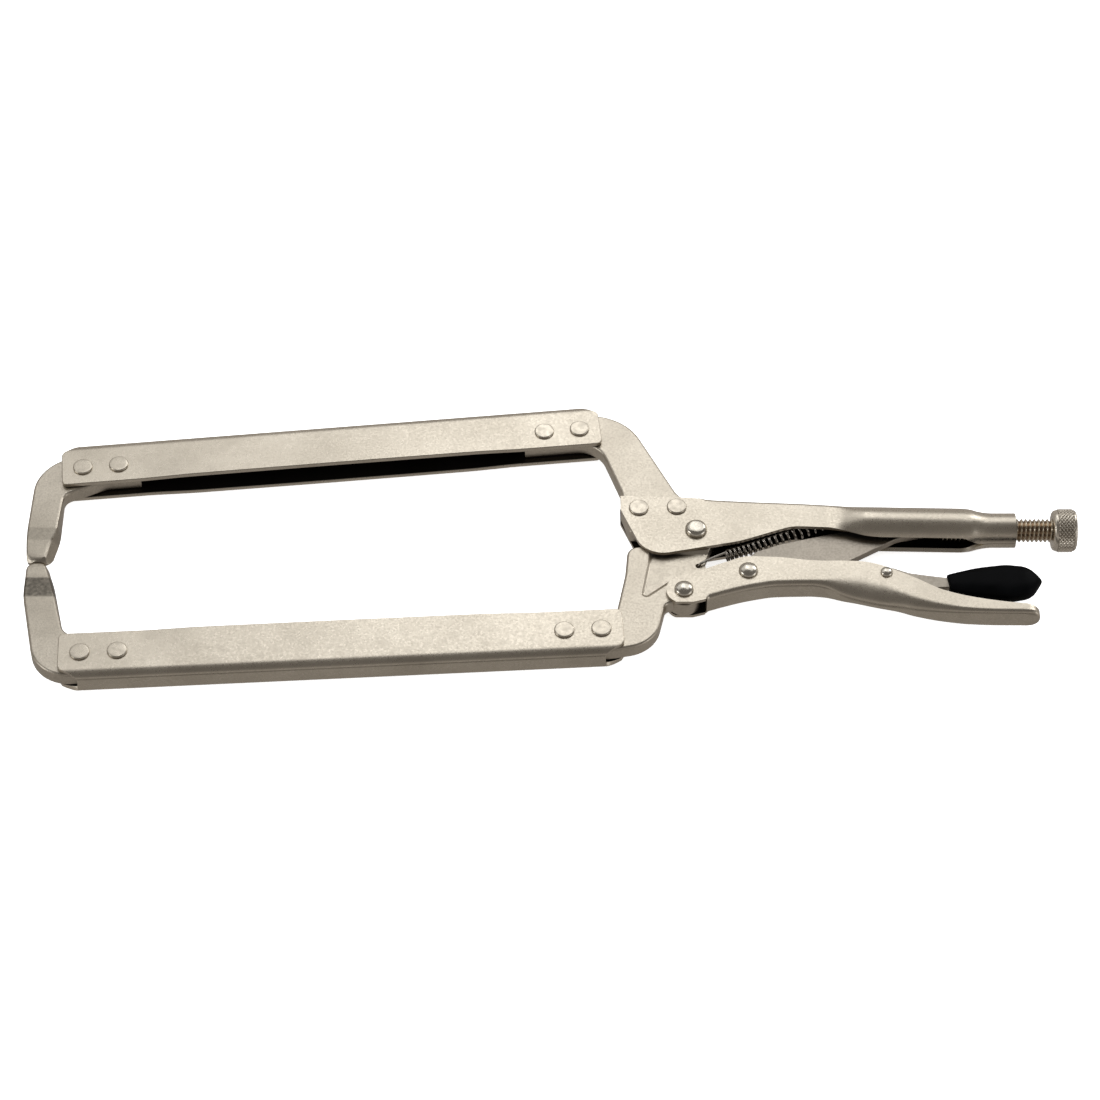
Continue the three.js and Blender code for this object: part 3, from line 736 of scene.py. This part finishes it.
def lower_jaw_tip():
    corners = [
        LOWER.at(TONGUE, TONGUE_TOP), LOWER.at(9.7, TONGUE_TOP),
        (-275.8, -77.3, 17), (-284.7, -34, 40), (-285, -15.2, 4.2), (-276.2, -15.2, 4.2),
        (-272.2, -27, 30), (-265.9, -54.4, 6), LOWER.at(19, TONGUE_BOTTOM, 8),
        LOWER.at(TONGUE, TONGUE_BOTTOM),
    ]
    levels = [
        (-90, 3.5), (-33.6, 3.5), (-32.8, 3.4), (-22.4, 2.35), (-21.6, 2.3), (-18, 2.2),
        (-16.2, 2.0), (-15, 1.7),
    ]
    narrowing = [(-90, 0), (-40, 0), (-30, 0.07), (-15, 0.13)]
    return jaw_tip("lower_tip_forging", "lower_jaw_tip", corners, levels, LOWER_TIP, narrowing)


def upper_arm_root():
    start = BAR_LENGTH - TONGUE
    corners = [
        UPPER.at(start, TONGUE_TOP), UPPER.at(227, TONGUE_TOP),
        (-28.7, 65.7, 24), (-5.9, 18.5, 11), (1, 18.1), (1, 13.9), (2.4, 13.9), (2.4, 0),
        (-13, -2.5), (-28.4, 0.5, 2), (-31.9, 12.2, 4), (-31.2, 22, 12), (-41.5, 51.8, 12),
        UPPER.at(start, TONGUE_BOTTOM),
    ]
    eye = stack(circle((0, 0), EYE_RADIUS + 1.2), CUT_THROUGH)
    body = plate(path(corners), FORGING_HALF, FORGING_EDGE)
    return solid("arm_root_forging", "upper_arm_root", *body, [(CUT, eye)])


def moving_jaw_root():
    start = BAR_LENGTH - TONGUE
    corners = [
        LOWER.at(start, TONGUE_TOP), LOWER.at(226.5, TONGUE_TOP),
        (-18.5, -60.2, 16), (-13.8, -39, 3), (-6, -38, 3), (1, -33.5, 3), (4.4, -24, 4), (3.2, -15, 6),
        (7.6, -4.6), (-3, -4), (-10, -5.4), (-29.3, -8.2, 5), (-30.6, -23, 30), (-35.1, -46.2, 3),
        LOWER.at(start, TONGUE_BOTTOM),
    ]
    recess = path([
        (-19.4, -10.5, 2), (-24.1, -37.2, 1.6), (-13.2, -28.2, 6), (-7.5, -23.8, 6), (7, -23.8),
        (7, -10.5),
    ])
    floor = FORGING_HALF - 1.2
    flare = [(1.2, 0), (0.7, 0.12), (0.25, 0.42), (-0.2, 0.82), (-0.6, 1.1), (-1.0, 1.22), (-1.0, 3)]
    hole = stack(circle(HOOK_HOLE, 1.3, 32), CUT_THROUGH)
    changes = [
        (CUT, stack(recess, [(distance, floor + rise) for distance, rise in flare])),
        (CUT, stack(recess, [(distance, -floor - rise) for distance, rise in reversed(flare)])),
        (JOINED, plate(circle((0, 0), EYE_RADIUS, 72), FORGING_HALF, BOSS_EDGE)),
        (JOINED, plate(circle(JAW_PIVOT, 7.3, 72), FORGING_HALF, BOSS_EDGE)),
        (CUT, hole),
    ]
    body = plate(path(corners), FORGING_HALF, FORGING_EDGE)
    return solid("jaw_root_forging", "moving_jaw_root", *body, changes)


# ---- Handles ------------------------------------------------------------------------------------

WALL_ROWS = 14
BEND_ROWS = 8


def half_channel(edge, web, half, across, down):
    """Half a channel as (z, y), from its open edge to the middle of its web."""
    away = 1 if web > edge else -1
    down = min(down, 0.58 * abs(web - edge))
    bend_start = web - away * down
    wall = [(half, np.interp(k, [0, WALL_ROWS - 1], [edge, bend_start])) for k in range(WALL_ROWS)]
    angles = [k / BEND_ROWS * math.pi / 2 for k in range(1, BEND_ROWS + 1)]
    bend = [
        (half - across + across * math.cos(a), bend_start + away * down * math.sin(a)) for a in angles
    ]
    flat = half - across
    return np.array([*wall, *bend, (flat * 0.5, web), (0, web)])


def mirrored(half, x):
    """The whole section at x from its half."""
    side = [(x, y, z) for z, y in half]
    return side + [(x, y, -z) for z, y in half[-2::-1]]


def walls_before(start, stations, rings):
    """Keeps a handle's whole section from x = start on, and only its side walls before that."""
    columns = len(rings[0]) - 1

    def kept(row, column):
        near = min(column, columns - 1 - column)
        return stations[row] >= start - 0.01 or near < WALL_ROWS - 1

    return kept


# The fixed handle: [x, top of the web, web bend, share of the round section].
FIXED_STATIONS = [
    [-34, 19.4, 0.06, 0], [-4, 18.4, 0.06, 0], [1.4, 18.1, 0.3, 0], [5, 18.1, 1.9, 0],
    [8, 17.9, 2.2, 0], [24, 16.9, 2.2, 0], [44, 15.9, 2.2, 0], [56, 15.2, 2.4, 0],
    [62, 14.9, 2.6, 0.2], [68, 14.6, 3, 0.6], [73, 14.3, 3, 0.88], [79, 14, 3, 1], [113, 13.6, 3, 1],
    [117, 13.4, 3, 1], [121, 12.4, 3, 1], [124.5, 11.7, 3, 1], [127, 11.6, 3, 1],
    [COLLAR_END, 11.6, 3, 1],
]
# Its tube's [x, radius], down to the collar's.
TUBE_STATIONS = [
    [79, TUBE_RADIUS], [113, TUBE_RADIUS], [117, 9.2], [121, 8.2], [124.5, 7.6],
    [127, COLLAR_RADIUS], [COLLAR_END, COLLAR_RADIUS],
]
FIXED_WEB_START = 1.5


def fixed_handle():
    """Two cheeks and a web that grow into a round tube, slotted below, with a collar."""
    top, bend, share = (interpolated(FIXED_STATIONS, column) for column in range(1, 4))
    radius = interpolated(TUBE_STATIONS, 1)
    below = path(
        [
            (-42, 12.2), (-32.4, 12.2), (-21.6, -14.5, 12), (18.5, -6.2, 40), (41, 2.2, 18), (63, 1.2),
            (73, 1.2),
        ],
        closed=False,
    )
    # The tube starts a little above the screw's axis, and has a slot of this half width below.
    lift = curve([60, 72, 85, 113], [0.9, 0.85, 0.6, 0])
    slot = curve([60, 78, 113, 122, 124, COLLAR_END], [4.6, 4.6, 4.6, 0.5, 0.12, 0.12])
    stations = np.concatenate([
        np.linspace(-32.1, -20, 22), np.linspace(-18.5, FIXED_WEB_START, 14), np.linspace(2.1, 8, 10),
        np.linspace(9.5, 56, 32), np.linspace(57, 80, 24), np.linspace(82, 112, 14),
        np.linspace(113, COLLAR_END, 32),
    ])
    rings = []
    for x in stations:
        edge = np.interp(x, below[:, 0], below[:, 1])
        channel = half_channel(edge, top(x), HANDLE_HALF, bend(x), bend(x))
        lengths = np.concatenate([[0], np.cumsum(np.linalg.norm(np.diff(channel, axis=0), axis=1))])
        first = -math.acos(slot(x) / radius(x))
        angles = first + (math.pi / 2 - first) * lengths / lengths[-1]
        tube = radius(x) * np.column_stack([np.cos(angles), np.sin(angles)]) + [0, SCREW_AXIS_Y + lift(x)]
        half = channel + share(x) * (tube - channel)
        rings.append(mirrored(half, x)[::-1])
    kept = walls_before(FIXED_WEB_START, stations, rings)
    return sheet_piece("fixed_handle_shell", "fixed_handle", rings, HANDLE_SHEET, kept=kept)


# The moving handle: [x, top edge, bottom, bend across, bend down].
MOVING_STATIONS = [
    [3, -21.7, -38.1, 0.1, 0.1], [4.6, -21, -37.5, 2.5, 2.5], [12, -17.9, -34.9, 2.5, 2.5],
    [22, -14.7, -32, 2.5, 2.5], [34, -15.1, -29.9, 2.5, 2.5], [48, -16.8, -29.6, 2.5, 2.5],
    [54, -17.1, -30.5, 3, 3.6], [61, -17.1, -33.6, 4.4, 8], [69, -17.4, -36, 5, 10.4],
    [77, -19.2, -38.1, 5, 10], [84, -22.4, -39.5, 5, 7.4], [92, -26.5, -41.6, 4.2, 5.4],
    [103, -32.9, -43.4, 3, 3.4], [114, -36.5, -44.4, 2.2, 2.2], [126, -38.9, -44.8, 1.9, 1.8],
    [136, -40.3, -44.9, 1.9, 1.8],
]
MOVING_WEB_START = 3.6
MOVING_END = 143.5
EAR_RADIUS = 7.5


def moving_handle():
    """A channel from the ears on the jaw's pivot to a closed, rounded nose."""
    top, bottom, across, down = (interpolated(MOVING_STATIONS, column) for column in range(1, 5))
    round_ear_end, low_ear_end = -9.4, -4
    channel_start, straight_end = MOVING_STATIONS[0][0], MOVING_STATIONS[-1][0]
    nose = MOVING_END - straight_end
    square = 0.05

    def section(x):
        """Half the section at x: a round ear, straight edges behind it, the channel, the nose."""
        arc = math.sqrt(max(EAR_RADIUS ** 2 - (x - JAW_PIVOT[0]) ** 2, 0))
        above, below = JAW_PIVOT[1] + arc, JAW_PIVOT[1] - arc
        if x < round_ear_end:
            return half_channel(above, below, HANDLE_HALF, square, square)
        if x < channel_start:
            above = np.interp(x, [round_ear_end, channel_start], [-26.2, -21.7])
            if x >= low_ear_end:
                below = np.interp(x, [low_ear_end, channel_start], [-40.13, -38.1])
            return half_channel(above, below, HANDLE_HALF, square, square)
        if x <= straight_end:
            return half_channel(top(x), bottom(x), HANDLE_HALF, across(x), down(x))
        gone = min((x - straight_end) / nose, 1)
        round_off = max(1 - gone ** 3, 0.002) ** 0.42
        half = HANDLE_HALF * round_off
        edge = -40.3 - 1.7 * gone ** 2
        web = -44.9 - 0.5 * gone + 1.2 * (1 - round_off)
        return half_channel(edge, web, half, min(1.9 + gone, 0.53 * half), 1.8 - 0.5 * gone)

    ear = JAW_PIVOT[0] - EAR_RADIUS * np.cos(np.linspace(0.06, 1.1, 14))
    end = straight_end + nose * np.sin(np.linspace(0, math.pi / 2, 14))
    stations = np.concatenate([
        ear, np.linspace(-2.2, 3, 7), np.linspace(3.2, 5.6, 13), np.linspace(7, 54, 36),
        np.linspace(55.5, 134, 58), end,
    ])
    rings = [mirrored(section(x), x) for x in stations]
    kept = walls_before(MOVING_WEB_START, stations, rings)
    return sheet_piece("moving_handle_shell", "moving_handle", rings, HANDLE_SHEET, kept=kept)


# ---- Toggle link, release lever and grip --------------------------------------------------------


def toggle_link():
    cx, cy = LINK_PIVOT
    nx, ny = LINK_NOSE
    nose = 3.6
    half = 1.6
    corners = [
        (cx - 3.4, cy + 5.8), (25, -9.4, 5), (36, -4.8, 16), (78, 6.2, 20), (nx, ny + nose),
        (nx, ny - nose), (86, -1.7, 10), (65, -14.2, 20), (52, -22, 20), (cx + 2, cy - 5.6),
    ]
    hub = plate(circle(LINK_PIVOT, 6, 64), 3.4, BOSS_EDGE)
    tip = plate(circle(LINK_NOSE, nose), half, PLATE_EDGE)
    body = plate(path(corners), half, PLATE_EDGE)
    return solid("toggle_link_plate", "toggle_link", *body, [(JOINED, hub), (JOINED, tip)])


def release_lever():
    corners = [
        (63.2, -19.6, 1.2), (65.2, -17, 1.2), (76, -19.4, 4), (82.8, -17.6, 4), (90, -20.6, 10),
        (98, -22, 10), (106, -23.2), (118, -20.6, 20), (131, -20.2, 5), (138, -25.4, 2.5),
        (129, -29.6, 5), (106, -28.4), (96, -28.8, 8), (86, -29.4, 5), (76, -28, 5), (66, -21, 4),
    ]
    boss = plate(circle(LEVER_PIVOT, 3.6), 3.4, PLATE_EDGE)
    body = plate(path(corners), 1.3, PLATE_EDGE)
    return solid("release_lever_plate", "release_lever", *body, [(JOINED, boss)])


def span(points, x):
    """The lowest and highest y where an outline crosses x."""
    found = []
    for (x0, y0), (x1, y1) in zip(points, np.roll(points, -1, 0)):
        if (x0 - x) * (x1 - x) <= 0 and x0 != x1:
            found.append(y0 + (y1 - y0) * (x - x0) / (x1 - x0))
    return min(found), max(found)


def lever_grip():
    """The grip: pillow sections through its outline, with a squared mouth and a round end."""
    points = path([
        (105.6, -21.6, 1.6), (118, -18.4, 25), (131, -16.4, 14), (140.6, -17.6, 9),
        (146.4, -24.4, 1.4), (141.5, -32.4, 8), (131, -34.6, 14), (118, -32.6, 20), (106.8, -30.6, 1.6),
    ])
    first, last = points[:, 0].min() + 0.05, points[:, 0].max() - 0.02
    tail_start = 136
    thick = curve([first, first + 1.2, 112, 124, tail_start, last], [2.2, 3.0, 3.7, 4.6, 4.5, 0.6])
    stations = np.concatenate([
        first + 2 * (1 - np.cos(np.linspace(0, math.pi / 2, 8))), np.linspace(109, tail_start, 28),
        tail_start + (last - tail_start) * np.sin(np.linspace(0.06, math.pi / 2, 20)),
    ])
    around = np.arange(56) * 2 * math.pi / 56
    squareness = 0.72
    up = np.sign(np.cos(around)) * np.abs(np.cos(around)) ** squareness
    out = np.sign(np.sin(around)) * np.abs(np.sin(around)) ** squareness
    rings = []
    for x in stations:
        low, high = span(points, x)
        tail = max(0, (x - tail_start) / (last - tail_start))
        half = thick(min(x, tail_start)) * math.sqrt(max(1 - tail * tail, 0.02))
        y = (low + high) / 2 + (high - low) / 2 * up
        rings.append(np.column_stack([np.full(len(y), x), y, half * out]))
    return solid("lever_grip_dip", "lever_grip", *shell(rings))


# ---- Adjusting screw, knob, rivets and spring ----------------------------------------------------


def adjusting_screw():
    """A rolled thread: the radius follows a rounded ridge that climbs one pitch a turn."""
    start, end = ends_mm("adjusting_screw")
    threaded_end = 152.9
    depth = 1.05
    spigot = 3.9
    angles = np.arange(48) * 2 * math.pi / 48
    rings = []
    for x in np.arange(start, threaded_end, THREAD_PITCH / 12):
        phase = (x / THREAD_PITCH - angles / (2 * math.pi)) % 1
        ridge = np.clip(1.25 * (1 - np.abs(2 * phase - 1)) - 0.1, 0, 1)
        taper = min((x - start) / 2.0, 1)
        radius = SCREW_RADIUS - depth * (1 - ridge * taper) - 0.3 * (1 - taper)
        rings.append(screw_ring(x, radius, angles))
    rings += [screw_ring(x, spigot, angles) for x in (threaded_end, end)]
    return solid("adjusting_screw_thread", "adjusting_screw", *shell(rings))


def adjusting_knob():
    """Crossed helical grooves between two plain rounded edges, and a shallow dish in the end."""
    start, end = ends_mm("adjusting_knob")
    knurl = (start + 1.9, end - 1.1)
    pairs = 32
    angles = np.arange(pairs * 10) * 2 * math.pi / (pairs * 10)
    pitch = 2 * math.pi * KNOB_RADIUS / pairs * 0.8
    depth = 0.42
    plain = KNOB_RADIUS - depth

    def rolled(x):
        """The radius all round at x, inside the knurled band."""
        edge = min((x - knurl[0]) / 0.5, (knurl[1] - x) / 0.5, 1)
        turn = angles * pairs / (2 * math.pi)
        heights = []
        for lean in (1, -1):
            phase = (turn + lean * x / pitch) % 1
            heights.append(np.clip(2.1 * (1 - np.abs(2 * phase - 1)), 0, 1))
        return plain + depth * np.minimum(*heights) * max(edge, 0.0)

    quarter = [k / 6 * math.pi / 2 for k in range(7)]
    front = [(start + 1.8 * (1 - math.cos(a)), plain - 1.4 * (1 - math.sin(a))) for a in quarter]
    band = [(x, rolled(x)) for x in np.linspace(*knurl, 84)]
    back = [(end - 1.1 + 1.1 * math.sin(a), plain - (1 - math.cos(a))) for a in quarter[1:]]
    dish = [(end, 5.5), (end - 0.25, 4.9), (end - 0.25, 1)]
    sections = [(start, 5.2), *front, *band, *back, *dish]
    rings = [screw_ring(x, radius, angles) for x, radius in sections]
    piece = solid("adjusting_knob_knurled", "adjusting_knob", *shell(rings))
    piece.data.materials.append(PLAIN_KNOB)
    for polygon in piece.data.polygons:
        x = (polygon.center.x - MAIN[0]) / MM
        polygon.material_index = 0 if knurl[0] < x < knurl[1] else 1
    return piece


def head_profile(kind, seat):
    """The upper half of a rivet's profile as (radius, z), from its shank to its crown."""
    if kind == "flat":
        turns = np.linspace(0, 1.5, 9)
        edge = [(4.25 - 0.6 * (1 - math.cos(a)), 0.3 + 0.62 * math.sin(a)) for a in turns]
        outer = [(4.2, 0), *edge, (3, 0.93), (2, 0.94), (1, 0.945)]
    elif kind == "main":
        turns = np.linspace(0, 1.35, 10)
        side = [(4.7 - 2.2 * (1 - math.cos(a)), 0.5 + 2.0 * math.sin(a)) for a in turns]
        outer = [(4.5, 0), (4.7, 0.2), *side, (1.9, 2.58)]
    else:
        radius, height = (4.1, 2.4) if kind == "pivot" else (2.6, 1.7)
        turns = np.linspace(0, 1.5, 14)
        dome = [(radius * math.cos(a), 0.3 + (height - 0.3) * math.sin(a)) for a in turns]
        outer = [(radius - 0.15, 0), *dome]
    return [(r, seat + z) for r, z in outer] + [(0, seat + outer[-1][1])]


def rivet(node, kind, half, shank):
    """A rivet with the same head on both outer faces, which stand half from the mid-plane."""
    seat = half + 0.05
    upper = head_profile(kind, seat)
    lower = [(r, -z) for r, z in reversed(upper)]
    profile = lower + [(shank, -seat), (shank, seat)] + upper
    shape = lathe(profile, middle_mm(node))
    return solid(f"{node}_turned", node, *shape, material=PEENED if kind == "flat" else None)


def swept_tube(points, radius):
    """Rings round a line of points, each turned as little as can be from the last."""
    sides = 10
    points = np.array(points)
    tangents = np.gradient(points, axis=0)
    tangents /= np.linalg.norm(tangents, axis=1)[:, None]
    across = unit(np.cross(tangents[0], [0.3, 0.2, 1]))
    angles = np.arange(sides) * 2 * math.pi / sides
    rings = []
    for point, tangent in zip(points, tangents):
        across = unit(across - (across @ tangent) * tangent)
        up = np.cross(tangent, across)
        rings.append(point + radius * (np.outer(np.cos(angles), across) + np.outer(np.sin(angles), up)))
    return shell(rings)


def through(points, steps):
    """A Catmull-Rom line through points, with that many steps between each two."""
    points = [np.array(p, float) for p in points]
    points = [2 * points[0] - points[1], *points, 2 * points[-1] - points[-2]]
    line = []
    for a, b, c, d in zip(points, points[1:], points[2:], points[3:]):
        for t in np.arange(steps) / steps:
            line.append(0.5 * (2 * b + (c - a) * t + (2 * a - 5 * b + 4 * c - d) * t**2
                               + (3 * b - a - 3 * c + d) * t**3))
    return line + [points[-2]]


SPRING_FRONT = np.array([12.5, -10.3, 0])
SPRING_REAR = np.array([56, 8, 0])


def return_spring():
    """A coil with a hook in the jaw's hole at the front and one in the handle behind."""
    along = unit(SPRING_REAR - SPRING_FRONT)
    across = np.array([-along[1], along[0], 0])
    hx, hy = HOOK_HOLE
    hook_z = FORGING_HALF - 0.1
    front = [
        (10.8, -12.6, -hook_z + 0.5), (hx + 1, hy + 0.4, -hook_z), (hx, hy, 0),
        (hx + 1, hy + 0.4, hook_z), (7, -13.6, hook_z - 0.3),
    ]
    rear = [(59.4, 10.2, 1), (61.1, 12, 0), (61.5, 13.6, 0)]
    steps = SPRING_TURNS * 24
    coil = []
    for i in range(steps + 1):
        reached = i / steps
        angle = 2 * math.pi * SPRING_TURNS * i / steps
        turn = SPRING_COIL * (math.cos(angle) * np.array([0, 0, 1]) - math.sin(angle) * across)
        # The coils lie closer at the front than at the back.
        place = SPRING_FRONT + (SPRING_REAR - SPRING_FRONT) * (0.7 + 0.3 * reached) * reached
        coil.append(place + turn)
    line = through([*front, coil[0]], 10)[:-1] + coil + through([coil[-1], *rear], 10)[1:]
    piece = closed_object("return_spring_coil", *swept_tube(line, SPRING_WIRE))
    mesh = piece.data
    mesh.materials.append(MATERIALS["spring_wire"])
    mesh.polygons.foreach_set("use_smooth", [True] * len(mesh.polygons))
    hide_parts("return_spring")
    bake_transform(piece)
    return piece


# ---- The clamp ------------------------------------------------------------------------------------

channel_bar("upper_bar_channel", "upper_bar", UPPER)
channel_bar("lower_bar_channel", "lower_bar", LOWER)
upper_jaw_tip()
lower_jaw_tip()
upper_arm_root()
moving_jaw_root()
fixed_handle()
moving_handle()
toggle_link()
release_lever()
lever_grip()
adjusting_screw()
adjusting_knob()
return_spring()
FLAT_SHANK = 2.5
for number in (1, 2, 3, 4):
    rivet(f"upper_bar_rivet_{number}", "flat", BAR_HALF, FLAT_SHANK)
    rivet(f"lower_bar_rivet_{number}", "flat", BAR_HALF, FLAT_SHANK)
for number in (1, 2):
    rivet(f"handle_rivet_{number}", "flat", HANDLE_HALF, FLAT_SHANK)
rivet("main_pivot_rivet", "main", HANDLE_HALF, 3)
rivet("jaw_pivot_rivet", "pivot", HANDLE_HALF, 2.8)
rivet("link_pivot_rivet", "pivot", HANDLE_HALF, 2.8)
rivet("lever_rivet", "lever", HANDLE_HALF, 1.7)

# ---- Studio: floor, light and camera ----------------------------------------------------------------

LOW, HIGH = (Vector(corner) for corner in CAD_BOX)
CENTRE = (LOW + HIGH) / 2


def plain_floor():
    """A white table that glows a little, so that it stays white, and isn't mirrored."""
    size = 6
    mesh = bpy.data.meshes.new("floor")
    corners = [(-size, -size, 0), (size, -size, 0), (size, size, 0), (-size, size, 0)]
    mesh.from_pydata(corners, [], [(0, 1, 2, 3)])
    floor = bpy.data.objects.new("floor", mesh)
    floor.location = (CENTRE.x, CENTRE.y, LOW.z - 0.0002)
    material = bpy.data.materials.new("floor")
    material.use_nodes = True
    shader = material.node_tree.nodes["Principled BSDF"]
    shader.inputs["Base Color"].default_value = (0.92, 0.92, 0.92, 1)
    shader.inputs["Roughness"].default_value = 0.9
    shader.inputs["Specular IOR Level"].default_value = 0.1
    shader.inputs["Emission Color"].default_value = (1, 1, 1, 1)
    shader.inputs["Emission Strength"].default_value = 0.72
    mesh.materials.append(material)
    floor.visible_glossy = False
    bpy.context.scene.collection.objects.link(floor)


LIGHT_DISTANCE = 1.6
# name, azimuth (0 is the -Y side, 90 the +X side), elevation, width, height, brightness
LIGHTS = [
    ("key_box", 160, 50, 1.3, 1.1, 1.03),
    ("left_key", 208, 49, 1.5, 1.0, 0.65),
    ("right_box", 134, 28, 0.65, 0.6, 2.4),
    ("low_right", 68, 15, 0.8, 0.6, 1.0),
    ("left_strip", 285, 27, 0.6, 0.5, 3.0),
]


def soft_box(name, azimuth, elevation, width, height, brightness):
    """An area light of that radiance, facing the clamp."""
    a, e = math.radians(azimuth), math.radians(elevation)
    back = Vector((math.sin(a) * math.cos(e), -math.cos(a) * math.cos(e), math.sin(e)))
    light = bpy.data.lights.new(name, "AREA")
    light.shape = "RECTANGLE"
    light.size = width
    light.size_y = height
    light.energy = brightness * width * height * math.pi
    lamp = bpy.data.objects.new(name, light)
    lamp.location = CENTRE + back * LIGHT_DISTANCE
    lamp.rotation_euler = (-back).to_track_quat("-Z", "Y").to_euler()
    bpy.context.scene.collection.objects.link(lamp)


# The sky's (height, tone): 0 is straight down, 0.5 level and 1 straight up.
SKY_TONES = [(0.0, 0.3), (0.25, 0.36), (0.45, 0.46), (0.64, 0.38), (0.79, 0.17), (1.0, 0.15)]
CARD_EDGES = [("Y", -0.72, -0.9), ("Z", -0.54, -0.42), ("Z", 0.1, -0.15)]
CARD_COLOUR = (0.12, 0.11, 0.1)


def sky():
    """A tent for the metal to mirror: dark overhead, warm grey from low down to the table, and
    a dark card in front of the clamp, from just above its level to well below.

    Cameras see it white, and matt surfaces are lit by an even white one, so that the table
    stays pale with hardly a shadow.
    """
    world = bpy.data.worlds.new("studio")
    bpy.context.scene.world = world
    world.use_nodes = True
    tree = world.node_tree
    split = tree.nodes.new("ShaderNodeSeparateXYZ")
    direction = tree.nodes.new("ShaderNodeTexCoord").outputs["Generated"]
    tree.links.new(direction, split.inputs["Vector"])
    ramp = tree.nodes.new("ShaderNodeValToRGB")
    tree.links.new(ranged(tree, split.outputs["Z"], 0, 1, -1, 1), ramp.inputs["Fac"])
    elements = ramp.color_ramp.elements
    while len(elements) < len(SKY_TONES):
        elements.new(0.5)
    for element, (height, tone) in zip(elements, SKY_TONES):
        element.position = height
        element.color = (tone, 0.93 * tone, 0.87 * tone, 1)
    edges = [ranged(tree, split.outputs[axis], 0, 1, start, end) for axis, start, end in CARD_EDGES]
    card = product(tree, product(tree, edges[0], edges[1]), edges[2])
    colour = mixed(tree, card, ramp.outputs["Color"], CARD_COLOUR)
    rays = tree.nodes.new("ShaderNodeLightPath")
    for kind, tone in (("Is Camera Ray", 1.0), ("Is Diffuse Ray", 1.25)):
        colour = mixed(tree, rays.outputs[kind], colour, (tone, tone, tone))
    tree.links.new(colour, tree.nodes["Background"].inputs["Color"])


CAMERA_ELEVATION = math.radians(50)
CAMERA_DISTANCE = 1.43
CAMERA_AIM = CENTRE + Vector((-0.76, -2.72, 0)) * MM
CAMERA_LENS = 109.51
CAMERA_SENSOR = 36


def camera():
    """A long lens above the table, square to the clamp's length."""
    data = bpy.data.cameras.new("camera")
    data.sensor_width = CAMERA_SENSOR
    data.lens = CAMERA_LENS
    eye = bpy.data.objects.new("camera", data)
    back = Vector((0, -math.cos(CAMERA_ELEVATION), math.sin(CAMERA_ELEVATION)))
    eye.location = CAMERA_AIM + back * CAMERA_DISTANCE
    eye.rotation_euler = (math.pi / 2 - CAMERA_ELEVATION, 0, 0)
    bpy.context.scene.collection.objects.link(eye)
    bpy.context.scene.camera = eye


plain_floor()
sky()
for light in LIGHTS:
    soft_box(*light)
camera()
bpy.context.scene.view_settings.view_transform = "Standard"
